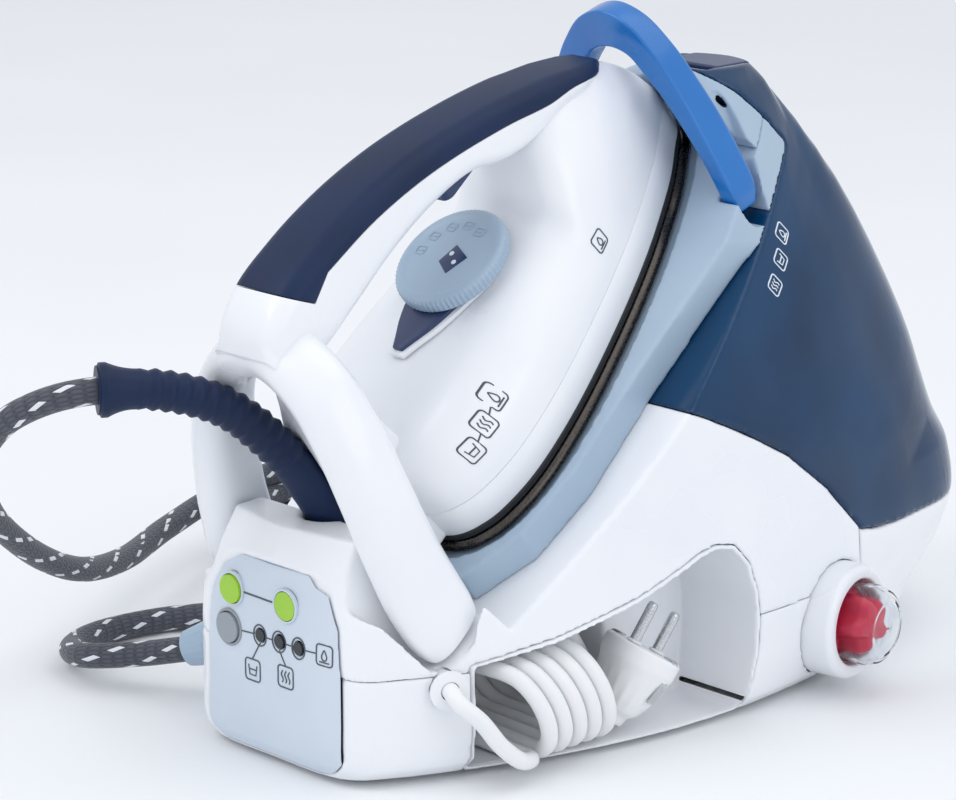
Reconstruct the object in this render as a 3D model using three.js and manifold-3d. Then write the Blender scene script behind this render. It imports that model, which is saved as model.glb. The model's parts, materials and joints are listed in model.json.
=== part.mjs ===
// Steam generator iron: a boiler base with a removable water tank, a parked iron and its hose and cord.
// Millimetres, +Z up, -Y is the control panel's side, +X the cord bay's side.
import * as THREE from 'three';
import { mergeVertices } from 'three/addons/utils/BufferGeometryUtils.js';
import Module from 'manifold-3d';

const wasm = await Module();
wasm.setup();

// ---------------------------------------------------------------- driving dimensions
const gap = 0.3; // clearance left between touching pieces
const wall = 2.6; // moulded shell thickness
const footHeight = 3;
const seamZ = 48.4; // joint between the lower and upper shells
const tankFloorZ = 66; // underside of the tank behind the boiler
const restSlope = THREE.MathUtils.degToRad(40.5); // the parked iron's tilt
const nose = new THREE.Vector3(0, 83, 238.6); // tip of the soleplate
const soleLength = 235;
const restDepth = 11.3; // tray thickness under the soleplate
const restRim = 5; // tray rim above the soleplate's underside
const panelHalfWidth = 43.5;
const panelLow = 4.5;
const panelHigh = 88;
const dialRadius = 27;
const dialU = -134;
const dialN = 62;
const hoseDiameter = 11.5;
const cordDiameter = 7.4;
const hoopPivot = new THREE.Vector2(62, 217); // y, z of the lock hoop's hinge
const hoopTravel = THREE.MathUtils.degToRad(18);
const knobAxis = new THREE.Vector3(0.985, 0.174, 0).normalize();
const knobCentre = new THREE.Vector3(98.5, 78, 33);
const bossRadius = 26;

// Outline of the housing at several heights: height, then x and y from the front round to the rear.
const housingSections = [
  [3, [[0, -166], [38, -164], [54, -146], [70, -110], [83, -72], [92, -30], [95, 10], [93, 50], [87, 88],
    [74, 122], [56, 150], [30, 170], [0, 177]]],
  [10, [[0, -168], [43, -166], [60, -147], [76, -110], [89, -72], [98, -30], [101, 10], [99, 52], [93, 94],
    [81, 131], [63, 162], [36, 187], [0, 196]]],
  [30, [[0, -168], [45, -165], [62, -145], [78, -110], [92, -72], [101, -30], [105, 12], [103, 55], [97, 97],
    [87, 136], [70, 170], [41, 198], [0, 208]]],
  [49, [[0, -168], [45, -165], [62, -145], [78, -110], [92, -72], [102, -30], [106, 15], [104, 57], [98, 99],
    [90, 140], [76, 180], [44, 208], [0, 217]]],
  [69, [[0, -168], [45, -164], [61, -144], [76, -110], [90, -70], [100, -30], [104, 15], [102, 57], [97, 99],
    [91, 142], [79, 184], [46, 212], [0, 221]]],
  [88, [[0, -166], [42, -160], [57, -141], [73, -108], [88, -69], [98, -29], [101, 15], [99, 56], [95, 97],
    [89, 140], [77, 182], [45, 209], [0, 217]]],
  [105, [[0, -159], [38, -152], [54, -136], [71, -105], [86, -68], [96, -28], [99, 15], [97, 55], [93, 96],
    [87, 137], [73, 175], [43, 201], [0, 209]]],
  [146, [[0, -130], [40, -122], [55, -108], [69, -85], [82, -58], [90, -28], [92, 10], [90, 46], [87, 84],
    [80, 122], [68, 160], [41, 183], [0, 190]]],
  [183, [[0, -90], [30, -85], [48, -70], [61, -50], [71, -28], [77, 0], [79, 25], [78, 52], [76, 80],
    [71, 112], [60, 145], [36, 165], [0, 171]]],
  [217, [[0, -40], [22, -38], [38, -28], [49, -12], [57, 8], [61, 28], [62, 46], [62, 65], [59, 86],
    [54, 108], [47, 133], [28, 146], [0, 151]]],
  [245, [[0, 15], [14, 17], [26, 23], [35, 32], [41, 42], [45, 54], [47, 68], [47, 81], [44, 95],
    [39, 108], [33, 120], [17, 128], [0, 131]]],
  [262, [[0, 46], [9, 47], [18, 51], [24, 56], [29, 62], [32, 70], [34, 79], [33, 88], [31, 97],
    [28, 106], [20, 112], [10, 115], [0, 117]]],
  [270, [[0, 66], [5, 66.5], [10, 68.5], [14, 71], [17, 75], [20, 81], [22, 88], [22, 96], [20, 102],
    [17, 106], [12, 109], [6, 111], [0, 112]]],
];

// Where the tank meets the housing, seen from the side: y, z from the tray down to the rear.
const tankEdge = [[-34, 151], [-4, 140], [21, 128], [47, 114], [75, 93], [90, 77], [99, 69], [112, tankFloorZ + 0.6],
  [130, tankFloorZ]];

// ---------------------------------------------------------------- helpers
function toSolid(geometry) {
  const bare = geometry.index ? geometry.toNonIndexed() : geometry.clone();
  bare.deleteAttribute('normal');
  bare.deleteAttribute('uv');
  const merged = mergeVertices(bare, 1e-4);
  return new wasm.Manifold(new wasm.Mesh({
    numProp: 3,
    vertProperties: new Float32Array(merged.attributes.position.array),
    triVerts: new Uint32Array(merged.index.array),
  }));
}

function toGeometry(solid) {
  const mesh = solid.getMesh();
  const geometry = new THREE.BufferGeometry();
  geometry.setAttribute('position', new THREE.BufferAttribute(new Float32Array(mesh.vertProperties), 3));
  geometry.setIndex(new THREE.BufferAttribute(new Uint32Array(mesh.triVerts), 1));
  return geometry;
}

// A closed skin over rings of points that all have the same number of points.
function loftGeometry(rings) {
  const count = rings[0].length;
  const positions = rings.flat().flatMap((p) => [p.x, p.y, p.z]);
  const index = [];
  for (let ring = 0; ring < rings.length - 1; ring += 1) {
    for (let i = 0; i < count; i += 1) {
      const a = ring * count + i;
      const b = ring * count + ((i + 1) % count);
      index.push(a, b, b + count, a, b + count, a + count);
    }
  }
  const last = (rings.length - 1) * count;
  for (const [start, flip] of [[0, true], [last, false]]) {
    const ring = rings[start === 0 ? 0 : rings.length - 1];
    const centre = ring.reduce((sum, p) => sum.add(p), new THREE.Vector3()).divideScalar(count);
    positions.push(centre.x, centre.y, centre.z);
    const hub = positions.length / 3 - 1;
    for (let i = 0; i < count; i += 1) {
      const a = start + i;
      const b = start + ((i + 1) % count);
      index.push(...(flip ? [hub, b, a] : [hub, a, b]));
    }
  }
  const geometry = new THREE.BufferGeometry();
  geometry.setAttribute('position', new THREE.Float32BufferAttribute(positions, 3));
  geometry.setIndex(index);
  return geometry;
}

const loft = (rings) => toSolid(loftGeometry(rings));

// A loft whose rings may run either way round.
function facingOut(rings) {
  const solid = loft(rings);
  return solid.volume() > 0 ? solid : loft(rings.map((ring) => ring.slice().reverse()));
}

function boxSolid(low, high) {
  const size = high.map((value, i) => value - low[i]);
  const geometry = new THREE.BoxGeometry(...size);
  geometry.translate(low[0] + size[0] / 2, low[1] + size[1] / 2, low[2] + size[2] / 2);
  return toSolid(geometry);
}

// A cylinder or cone from one point to another.
function rodGeometry(from, to, radius, endRadius = radius, segments = 18) {
  const axis = new THREE.Vector3().subVectors(to, from);
  const geometry = new THREE.CylinderGeometry(endRadius, radius, axis.length(), segments);
  geometry.translate(0, axis.length() / 2, 0);
  geometry.applyQuaternion(new THREE.Quaternion().setFromUnitVectors(new THREE.Vector3(0, 1, 0), axis.normalize()));
  geometry.translate(from.x, from.y, from.z);
  return geometry;
}

const rod = (...args) => toSolid(rodGeometry(...args));
const vec = (x, y, z) => new THREE.Vector3(x, y, z);

function outline(points) {
  return new THREE.Shape(points.map(([a, b]) => new THREE.Vector2(a, b)));
}

// A side profile given as y, z points, extruded along X.
function sideSolid(points, fromX, toX) {
  const geometry = new THREE.ExtrudeGeometry(outline(points), { depth: toX - fromX, bevelEnabled: false });
  geometry.applyMatrix4(new THREE.Matrix4().makeBasis(vec(0, 1, 0), vec(0, 0, 1), vec(1, 0, 0)));
  geometry.translate(fromX, 0, 0);
  return toSolid(geometry);
}

// A flat shape in X and Y, extruded up.
function plateSolid(shape, low, high, steps = 6) {
  const settings = { depth: high - low, bevelEnabled: false, curveSegments: steps };
  const geometry = new THREE.ExtrudeGeometry(shape, settings);
  geometry.translate(0, 0, low);
  return toSolid(geometry);
}

function turned(profile, segments = 28) {
  return new THREE.LatheGeometry(profile.map(([r, h]) => new THREE.Vector2(r, h)), segments);
}

// Lathe profiles stand on +Y: this lays them along a direction from a point.
function aimed(geometry, origin, direction) {
  const turn = new THREE.Quaternion().setFromUnitVectors(vec(0, 1, 0), direction.clone().normalize());
  geometry.applyQuaternion(turn);
  geometry.translate(origin.x, origin.y, origin.z);
  return geometry;
}

function roundedRectangle(halfX, halfY, radius, centreX = 0, centreY = 0) {
  const shape = new THREE.Shape();
  shape.moveTo(centreX - halfX + radius, centreY - halfY);
  shape.lineTo(centreX + halfX - radius, centreY - halfY);
  shape.absarc(centreX + halfX - radius, centreY - halfY + radius, radius, -Math.PI / 2, 0, false);
  shape.lineTo(centreX + halfX, centreY + halfY - radius);
  shape.absarc(centreX + halfX - radius, centreY + halfY - radius, radius, 0, Math.PI / 2, false);
  shape.lineTo(centreX - halfX + radius, centreY + halfY);
  shape.absarc(centreX - halfX + radius, centreY + halfY - radius, radius, Math.PI / 2, Math.PI, false);
  shape.lineTo(centreX - halfX, centreY - halfY + radius);
  shape.absarc(centreX - halfX + radius, centreY - halfY + radius, radius, Math.PI, Math.PI * 1.5, false);
  return shape;
}

// A tube of round section along a smooth path.
function tube(points, diameter, steps, sides = 10) {
  const path = new THREE.CatmullRomCurve3(points, false, 'centripetal');
  const section = new THREE.Shape();
  section.absarc(0, 0, diameter / 2, 0, Math.PI * 2, false);
  return new THREE.ExtrudeGeometry(section, { steps, extrudePath: path, curveSegments: sides / 2, bevelEnabled: false });
}

// ---------------------------------------------------------------- housing volume
// The whole base and tank as one smooth volume, drawn in by an inset for the inside of a shell.
function housing(inset) {
  const across = 16;
  const rings = [];
  housingSections.forEach(([z, half], row) => {
    const next = housingSections[row + 1];
    const between = next && next[0] - z > 25 ? [0, 0.5] : [0];
    for (const t of between) {
      const points = half.map(([x, y], i) => (next
        ? new THREE.Vector2(x + (next[1][i][0] - x) * t, y + (next[1][i][1] - y) * t)
        : new THREE.Vector2(x, y)));
      const curve = new THREE.SplineCurve(points);
      const right = curve.getPoints(across);
      const ring = right.map((p, i) => {
        const before = right[Math.max(i - 1, 0)];
        const after = right[Math.min(i + 1, across)];
        const along = new THREE.Vector2().subVectors(after, before).normalize();
        return new THREE.Vector2(Math.max(p.x - along.y * inset, 0), p.y + along.x * inset);
      });
      ring[0].x = 0;
      ring[across].x = 0;
      const level = z + (next ? (next[0] - z) * t : 0);
      const mirrored = ring.slice(1, across).reverse().map((p) => new THREE.Vector2(-p.x, p.y));
      rings.push([...ring, ...mirrored].map((p) => vec(p.x, p.y, level)));
    }
  });
  return loft(inset > 0 ? rings.slice(0, -1) : rings);
}

const liftBy = (height) => [0, -Math.sin(restSlope) * height, Math.cos(restSlope) * height];
const ironPose = new THREE.Matrix4().makeRotationX(restSlope).setPosition(nose);
const intoWorld = (geometry) => geometry.applyMatrix4(ironPose);

// A box given in the iron's own axes: x, u towards the nose, n off the soleplate.
function ironBox(low, high) {
  const size = high.map((value, i) => value - low[i]);
  const geometry = new THREE.BoxGeometry(...size);
  geometry.translate(low[0] + size[0] / 2, low[1] + size[1] / 2, low[2] + size[2] / 2);
  return toSolid(intoWorld(geometry));
}

const far = 400;
const outer = housing(0);
const inner = housing(wall);
const underTray = ironBox([-far, -far, -far], [far, far, -restDepth - gap]);
const underTrayInside = ironBox([-far, -far, -far], [far, far, -restDepth - gap - wall]);
const tankSide = [[-60, 135], ...tankEdge, [far, tankFloorZ], [far, far], [-60, far]];
const aboveTankEdge = sideSolid(tankSide.map(([y, z]) => [y, z - gap]), -far, far);
const tankZoneThick = sideSolid(tankSide.map(([y, z]) => [y, z - wall - gap]), -far, far);

// ---------------------------------------------------------------- soleplate outline
// Half widths of the soleplate from the nose to the heel: x, u.
const soleHalf = [[0, 0], [6, -6], [11, -15], [20, -31], [28, -50], [36, -72], [43, -96], [49, -121], [54, -146],
  [57, -168], [58, -189], [56, -206], [51, -220], [40, -231], [20, -soleLength], [0, -soleLength - 1]];

function soleShape(grow) {
  const right = new THREE.SplineCurve(soleHalf.map(([x, u]) => new THREE.Vector2(x, u))).getPoints(30);
  const grown = right.map((p, i) => {
    const before = right[Math.max(i - 1, 0)];
    const after = right[Math.min(i + 1, right.length - 1)];
    const along = new THREE.Vector2().subVectors(after, before).normalize();
    return new THREE.Vector2(p.x - along.y * grow, p.y + along.x * grow);
  });
  const flank = grown.slice(1, -1).filter((p, i) => p.x > 1.5 && p.y < right[i + 1].y + Math.max(grow, 0) + 0.5);
  const tip = new THREE.Vector2(0, grow > 0 ? right[0].y + grow * 1.2 : flank[0].y + 1);
  const heel = new THREE.Vector2(0, grown[grown.length - 1].y);
  const left = flank.slice().reverse().map((p) => new THREE.Vector2(-p.x, p.y));
  return new THREE.Shape([tip, ...flank, heel, ...left]);
}

// ---------------------------------------------------------------- materials
function finish(color, roughness, metalness = 0, extra = {}) {
  return new THREE.MeshStandardMaterial({ color, roughness, metalness, ...extra });
}

const clear = { transparent: true, opacity: 0.45 };
const paint = {
  whiteShell: finish('#eef0f3', 0.35),
  paleBlue: finish('#a9c4d8', 0.4),
  greyPanel: finish('#cfd9e2', 0.45),
  tank: finish('#1f4468', 0.15, 0, { transparent: true, opacity: 0.75 }),
  hoop: finish('#0a6cb8', 0.3),
  navy: finish('#24375a', 0.55),
  green: finish('#8fbe1e', 0.3),
  greyButton: finish('#8d949b', 0.4),
  darkLens: finish('#2a2f36', 0.2),
  red: finish('#e0204f', 0.35),
  clearCap: finish('#eef4f8', 0.1, 0, clear),
  rubber: finish('#2b2d30', 0.8),
  hose: finish('#4b4d55', 0.85),
  whiteCord: finish('#f1f2f3', 0.5),
  steel: finish('#b9bdc2', 0.3, 1),
  casting: finish('#9a9da1', 0.5, 1),
  copper: finish('#b87348', 0.35, 1),
  board: finish('#1d5a3a', 0.6),
  pumpBody: finish('#3a3c40', 0.6),
};

const base = new THREE.Group();
const tank = new THREE.Group();
const iron = new THREE.Group();
iron.rotation.x = restSlope;
iron.position.copy(nose);

function add(group, name, shape, material) {
  const geometry = shape.isBufferGeometry ? shape : toGeometry(shape);
  const mesh = new THREE.Mesh(geometry, material);
  mesh.name = name;
  group.add(mesh);
  return mesh;
}

// ---------------------------------------------------------------- the iron, in its own axes
const soleTop = 4;
const skirtLow = 8.3;
const skirtHigh = 24;
const bodyLow = skirtHigh + gap;

// The iron body's cross-section from the skirt's edge to the middle of its top, as shares.
const bodySection = [[1, 0], [0.985, 0.26], [0.93, 0.5], [0.8, 0.74], [0.6, 0.91], [0.3, 0.985], [0, 1]];
// Top height of the iron body along u.
const bodyTop = [[-1.5, 30], [-4, 38], [-9, 52], [-16, 64], [-24, 73], [-40, 81], [-60, 87], [-76, 84], [-90, 73],
  [-101, 62], [-112, 60], [-140, 59], [-170, 58], [-200, 57], [-218, 54], [-228, 50], [-233, 46]];

function soleWidthAt(u) {
  for (let i = 1; i < soleHalf.length; i += 1) {
    const [x0, u0] = soleHalf[i - 1];
    const [x1, u1] = soleHalf[i];
    if (u <= u0 && u >= u1) return x0 + ((x1 - x0) * (u0 - u)) / (u0 - u1);
  }
  return 1;
}

function ironBodySolid(inset) {
  const rings = bodyTop.map(([u, top]) => {
    const width = Math.max(soleWidthAt(u) - 0.6 - inset, 0.8);
    const height = top - bodyLow - inset;
    const right = bodySection.map(([x, n]) => vec(x * width, u, bodyLow + n * height));
    const left = right.slice(0, -1).reverse().map((p) => vec(-p.x, p.y, p.z));
    return [...right, ...left].reverse();
  });
  const used = inset > 0 ? rings.slice(2, -1) : rings;
  return facingOut(used);
}

// The handle seen from the side, from its root at the nose to the heel: u, n of its back, n of its finger side.
const handleRows = [[-23, 75, 71], [-40, 87, 73], [-60, 99.5, 78], [-80, 110, 82], [-94, 116.5, 88], [-108, 122.5, 97.5],
  [-130, 130.5, 104], [-160, 138, 107], [-190, 141.5, 106], [-214, 141, 105.5], [-230, 135, 110], [-238, 127, 118]];
const handleHalfWidth = 19;

function handleSolid(grow) {
  const rings = handleRows.map(([u, back, finger], row) => {
    const end = row === 0 ? grow : (row === handleRows.length - 1 ? -grow : 0);
    const halfHigh = (back - finger) / 2 + grow;
    const middle = (back + finger) / 2;
    const round = Math.min(9, halfHigh * 0.95);
    const taper = row === 0 ? 0.35 : (row === 1 ? 0.8 : 1);
    const half = handleHalfWidth * taper + grow;
    const ring = [];
    for (const [sx, sn] of [[1, -1], [1, 1], [-1, 1], [-1, -1]]) {
      for (let i = 0; i <= 3; i += 1) {
        const a = Math.atan2(sn, sx) + THREE.MathUtils.degToRad(-45 + i * 30);
        ring.push(vec(sx * (half - round) + round * Math.cos(a), u + end, middle + sn * (halfHigh - round)
          + round * Math.sin(a)));
      }
    }
    return ring;
  });
  return facingOut(rings);
}

// The band of the handle's back that the soft cap covers.
function capBand(lift) {
  const line = handleRows.slice(0, 9).map(([u, n], i) => [u - 3, n - (i < 2 ? 5 : 9) + lift]);
  return sideSolid([[-12, 66 + lift], ...line, [-206 + lift, 128 + lift], [-226 + lift, 160], [-226, 220], [-12, 220]],
    -60, 60);
}

// The heel's horseshoe, from foot to foot: x, u, n, half width, half depth.
const heelRight = [[0, -226, 119, 9, 14], [13, -228, 117, 9.5, 14], [26, -232, 108, 10, 14.5], [38, -240, 91, 10.5, 15],
  [47, -251, 66, 11, 15.5], [53, -261, 40, 11, 16.5], [57, -267, 18, 10.5, 17.5], [59, -269, 4, 9.5, 17],
  [59.5, -269, -4, 8, 15]];
const heelRow = [...heelRight.slice(1).reverse().map(([x, ...rest]) => [-x, ...rest]), ...heelRight];

function heelSolid(grow) {
  const turns = 12;
  const rings = heelRow.map(([x, u, n, halfWide, halfDeep], row) => {
    const before = heelRow[Math.max(row - 1, 0)];
    const after = heelRow[Math.min(row + 1, heelRow.length - 1)];
    const along = vec(after[0] - before[0], after[1] - before[1], after[2] - before[2]).normalize();
    const deep = vec(0, 1, 0).addScaledVector(along, -along.y).normalize();
    const wide = new THREE.Vector3().crossVectors(along, deep);
    const end = row === 0 || row === heelRow.length - 1;
    const centre = vec(x, u, n).addScaledVector(along, end ? Math.sign(x) * grow : 0);
    return Array.from({ length: turns }, (_, i) => {
      const a = (i / turns) * Math.PI * 2;
      const round = 0.8;
      const c = Math.sign(Math.cos(a)) * Math.abs(Math.cos(a)) ** round;
      const s = Math.sign(Math.sin(a)) * Math.abs(Math.sin(a)) ** round;
      return centre.clone().addScaledVector(wide, c * (halfWide + grow)).addScaledVector(deep, s * (halfDeep + grow));
    });
  });
  return facingOut(rings);
}

// The rear cover between the legs, around the hose's outlet: u of its back, n, half width.
const heelCoverRows = [[-246, 9, 36], [-250, 24, 34], [-249, 46, 27], [-243, 68, 20], [-236, 88, 16], [-231, 104, 14]];

function heelCoverSolid(grow) {
  const rings = heelCoverRows.map(([u, n, half]) => {
    const level = n + (n < 10 ? -grow : 0);
    const w = half + grow;
    const back = u - grow;
    const front = -216;
    return [[-w, front], [w, front], [w, back + 8], [w - 8, back], [-w + 8, back], [-w, back + 8]]
      .map(([x, y]) => vec(x, y, level));
  });
  return facingOut(rings);
}

const triggerBox = [[-8.5, -124, 92], [8.5, -90, 108]];
const handleWhole = handleSolid(0);
const handleGrown = handleSolid(gap);
const heelGrown = heelSolid(gap);
const coverGrown = heelCoverSolid(gap);
// The hose sleeve's middle line, from the heel's outlet to its flared end.
const sleeveRun = [vec(0, -128, 98), vec(-2, -141, 116), vec(-7, -158, 138), vec(-15, -178, 156), vec(-26, -201, 165),
  vec(-36, -220, 167)];
const sleeveRoom = toSolid(tube(sleeveRun, 19.8, 14, 12).applyMatrix4(ironPose.clone().invert()));
const soleBand = (low, high, grow) => plateSolid(soleShape(grow), low, high);

function buildIron() {
  add(iron, 'soleplate', soleBand(0, soleTop, 0), paint.steel);
  const casting = soleBand(soleTop + gap, 16, -9).subtract(rod(vec(0, -60, 10), vec(0, -60, 20), 7));
  add(iron, 'heater_casting', casting, paint.casting);
  const shield = soleBand(soleTop + gap, skirtLow - gap, -0.8).subtract(soleBand(0, 20, -8.5));
  add(iron, 'heat_shield', shield, paint.rubber);
  const skirt = soleBand(skirtLow, skirtHigh, -0.4).subtract(soleBand(0, 40, -6))
    .subtract(heelGrown).subtract(coverGrown);
  add(iron, 'iron_skirt', skirt, paint.whiteShell);
  const shellBody = ironBodySolid(0).subtract(ironBodySolid(wall)).subtract(handleGrown)
    .subtract(heelGrown).subtract(coverGrown);
  add(iron, 'iron_body', biggest(shellBody), paint.whiteShell);
  const grip = triggerBox.map((corner, i) => corner.map((value) => value + (i ? 0.6 : -0.6)));
  const shell = handleWhole.subtract(capBand(-gap)).subtract(boxSolid(grip[0], grip[1]));
  add(iron, 'handle_shell', biggest(shell), paint.whiteShell);
  const cap = handleWhole.intersect(capBand(0)).subtract(boxSolid(grip[0], grip[1]));
  add(iron, 'handle_cap', biggest(cap), paint.navy);
  add(iron, 'heel_frame', biggest(heelSolid(0).subtract(handleGrown).subtract(sleeveRoom)), paint.whiteShell);
  const outlet = rod(vec(0, -262, 36), vec(0, -232, 36), 12.6);
  const cover = heelCoverSolid(0).subtract(heelGrown).subtract(handleGrown).subtract(outlet)
    .subtract(soleBand(-5, 8, 1)).subtract(soleBand(-5, 16.5, -8.4)).subtract(sleeveRoom);
  add(iron, 'heel_cover', biggest(cover), paint.whiteShell);
  const trigger = roundedRectangle(8, 16, 4, 0, -107);
  add(iron, 'steam_trigger', plateSolid(trigger, 93.5, 103, 3), paint.navy);
  const pointerShape = new THREE.Shape();
  pointerShape.absarc(0, dialU, 19, -0.35, Math.PI + 0.35, false);
  pointerShape.quadraticCurveTo(-9, dialU - 34, -4.5, dialU - 43);
  pointerShape.quadraticCurveTo(0, dialU - 48, 4.5, dialU - 43);
  pointerShape.quadraticCurveTo(9, dialU - 34, Math.cos(0.35) * 19, dialU - 6.5);
  add(iron, 'dial_pointer', plateSolid(pointerShape, 60.6, 62.6, 6), paint.navy);
  const knob = [[0, 0], [dialRadius - 1, 0], [dialRadius, 1], [dialRadius, 4.5], [dialRadius - 2.5, 6.5],
    [dialRadius - 8, 7.4], [0, 7.8]];
  const dial = turned(knob, 32);
  dial.applyMatrix4(new THREE.Matrix4().makeRotationX(Math.PI / 2));
  dial.translate(0, dialU, dialN + 1.2);
  add(iron, 'temperature_dial', dial, paint.paleBlue);
  add(iron, 'thermostat', rod(vec(0, dialU, 16.4), vec(0, dialU, 34), 13), paint.casting);
}

// The largest piece left after a cut, with stray slivers dropped.
function biggest(solid) {
  return solid.decompose().sort((a, b) => b.volume() - a.volume())[0];
}

// ---------------------------------------------------------------- the base
// The tray's edge on one side of the iron: x, u.
const restSide = [[52, -247], [68, -220], [72.5, -185], [69, -130], [68, -60], [74, 20]];

// The cord bay's opening seen from the side: y, z, with a rounded top corner at its rear.
const bayProfile = [[-118, 4.6], [-119, 50], [-84, 56], [-45, 67], [-12, 80], [-2, 82], [8, 80], [15, 72], [19, 58],
  [20, 32], [18, 4.6]];
const bayDepth = 60;
const coilDepth = 9;
const coilBayEnd = -29.5;

function bayVolume(grow, reach) {
  const grown = bayProfile.map(([y, z], i) => {
    const before = bayProfile[(i + bayProfile.length - 1) % bayProfile.length];
    const after = bayProfile[(i + 1) % bayProfile.length];
    const along = new THREE.Vector2(after[0] - before[0], after[1] - before[1]).normalize();
    return [y - along.y * grow, z + along.x * grow];
  });
  const wide = sideSolid(grown, bayDepth - reach, far);
  const deep = sideSolid(grown, coilDepth - reach, far)
    .intersect(boxSolid([-far, -far, -far], [far, coilBayEnd + reach, far]));
  return wide.add(deep);
}

// Iron and travel: what the base has to leave free around the iron's heel.
const heelRoom = ironBox([-far, -255, -restDepth - gap], [far, far, far]);

// The room beside each leg of the heel, as x and n of its outline.
const legSide = [[50, -5.8], [72, -5.8], [72, 150], [18, 150], [26, 91], [34.5, 66], [40, 40], [45, 18]];

function legRoom(side, grow) {
  const grown = legSide.map(([x, n]) => [side * (x < 60 ? x - grow : x), n < 0 ? n - grow : n]);
  const settings = { depth: 43 + grow * 2, bevelEnabled: false };
  const geometry = new THREE.ExtrudeGeometry(outline(grown), settings);
  geometry.applyMatrix4(new THREE.Matrix4().makeRotationX(Math.PI / 2));
  geometry.translate(0, -246 + grow, 0);
  const floor = boxSolid([-far, -far, seamZ + 1.8 - grow], [far, far, far]);
  return toSolid(intoWorld(geometry)).intersect(floor);
}

const panelPrism = (grow, back) => {
  const shape = roundedRectangle(panelHalfWidth + grow, (panelHigh - panelLow) / 2 + grow, 13);
  const geometry = new THREE.ExtrudeGeometry(shape, { depth: 60, bevelEnabled: false, curveSegments: 5 });
  geometry.applyMatrix4(new THREE.Matrix4().makeRotationX(Math.PI / 2));
  geometry.translate(0, back, (panelHigh + panelLow) / 2);
  return toSolid(geometry);
};

const cordHole = { from: vec(62, -128, 43), to: vec(80, -136, 43) };
const fittingFrom = vec(-56, -126, 37);
const fittingTo = vec(-88, -139, 24);
const knobBack = knobCentre.clone().addScaledVector(knobAxis, -6);
const knobFace = knobCentre.clone().addScaledVector(knobAxis, 15);

function buildBase() {
  const bayCut = bayVolume(2.3, 2.3);
  const holes = [rod(cordHole.from, cordHole.to, 7.2), rod(knobBack, knobFace, bossRadius + gap, bossRadius + gap, 32)];
  const nozzleHole = rod(fittingFrom, fittingTo, 12.9);
  const rearLine = 97;
  const frontHalf = boxSolid([-far, -far, -far], [far, rearLine, far]);
  const rearHalf = boxSolid([-far, rearLine + gap, -far], [far, far, far]);
  const panelCut = panelPrism(gap, -162.6);
  let lower = outer.intersect(boxSolid([-far, -far, 0], [far, rearLine, seamZ - gap]))
    .subtract(inner.intersect(boxSolid([-far, -far, 6], [far, rearLine + 5, far])));
  lower = lower.subtract(bayCut).subtract(panelCut).subtract(nozzleHole);
  holes.forEach((hole) => { lower = lower.subtract(hole); });
  add(base, 'base_lower_shell', biggest(lower), paint.whiteShell);

  const housingFront = outer.intersect(boxSolid([-far, -far, seamZ], [far, 0, 104])).subtract(heelRoom);
  const wedge = outer.intersect(boxSolid([-far, -far, seamZ], [far, far, far])).intersect(underTray)
    .subtract(aboveTankEdge);
  const wedgeInside = inner.intersect(boxSolid([-far, -far, 0], [far, far, far])).intersect(underTrayInside)
    .subtract(tankZoneThick);
  const frontInside = inner.intersect(boxSolid([-far, -160, 0], [far, 0, 101]))
    .subtract(ironBox([-far, -255 - wall, -restDepth - wall], [far, far, far]))
    .subtract(boxSolid([44 - wall, -far, 44], [far, far, far])).subtract(boxSolid([-far, -far, 44], [-44 + wall, far, far]));
  const hollow = wedgeInside.add(frontInside).subtract(legRoom(1, wall)).subtract(legRoom(-1, wall));
  let upper = housingFront.add(wedge).subtract(hollow)
    .subtract(legRoom(1, 0)).subtract(legRoom(-1, 0)).intersect(frontHalf);
  upper = upper.subtract(bayCut).subtract(panelCut).subtract(nozzleHole);
  const sleeveWay = toSolid(tube(sleeveRun, 21.5, 14, 12));
  for (const lift of [0, 8, 16]) upper = upper.subtract(sleeveWay.translate(liftBy(lift)));
  for (const [, x, z, radius] of controls) upper = upper.subtract(rod(vec(x, -175, z), vec(x, -150, z), radius + 0.4));
  holes.forEach((hole) => { upper = upper.subtract(hole); });
  add(base, 'base_upper_shell', biggest(upper), paint.whiteShell);

  let rear = outer.intersect(rearHalf).subtract(aboveTankEdge);
  rear = rear.subtract(inner.subtract(tankZoneThick).intersect(boxSolid([-far, -far, 6], [far, far, far])));
  holes.forEach((hole) => { rear = rear.subtract(hole); });
  add(base, 'base_rear_cover', biggest(rear), paint.whiteShell);

  const bay = bayVolume(2, 2).subtract(bayVolume(0, 0)).intersect(inner.add(outer.intersect(boxSolid(
    [0, -far, 0], [far, far, far],
  ))));
  add(base, 'cord_bay_liner', biggest(bay), paint.whiteShell);

  const rest = outer.intersect(ironBox([-far, -247, -restDepth], [far, tankFront - gap, restRim]))
    .subtract(toSolid(intoWorld(toGeometry(soleBand(-1.5, 60, 3.2)))))
    .subtract(toSolid(intoWorld(toGeometry(soleBand(-60, -6, -18)))))
    .subtract(toSolid(intoWorld(toGeometry(soleBand(-0.8, 60, 8)))));
  const sides = restSide.map(([x, u]) => [-x, u]).reverse();
  const edge = plateSolid(outline([...restSide, ...sides]), -30, 30);
  const tray = rest.intersect(toSolid(intoWorld(toGeometry(edge)))).subtract(hoopEars());
  add(base, 'iron_rest', biggest(tray), paint.paleBlue);
}

// ---------------------------------------------------------------- the lock hoop
// Half of the hoop, from its foot to its top: x and height of the outer edge, then of the inner edge, half depth.
const hoopRows = [[58, -2, 50, -2, 6.5], [58.5, 6, 49.5, 6, 8], [54, 20, 45, 20, 8.5], [47.5, 36, 38, 34, 8.5],
  [38.5, 54, 28.5, 49, 8], [27, 72, 18.5, 61, 7.5], [14.5, 84.5, 10, 69, 7], [0, 89, 0, 71.5, 7]];
const hoopLean = Math.atan2(28, 84.5);

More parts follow.
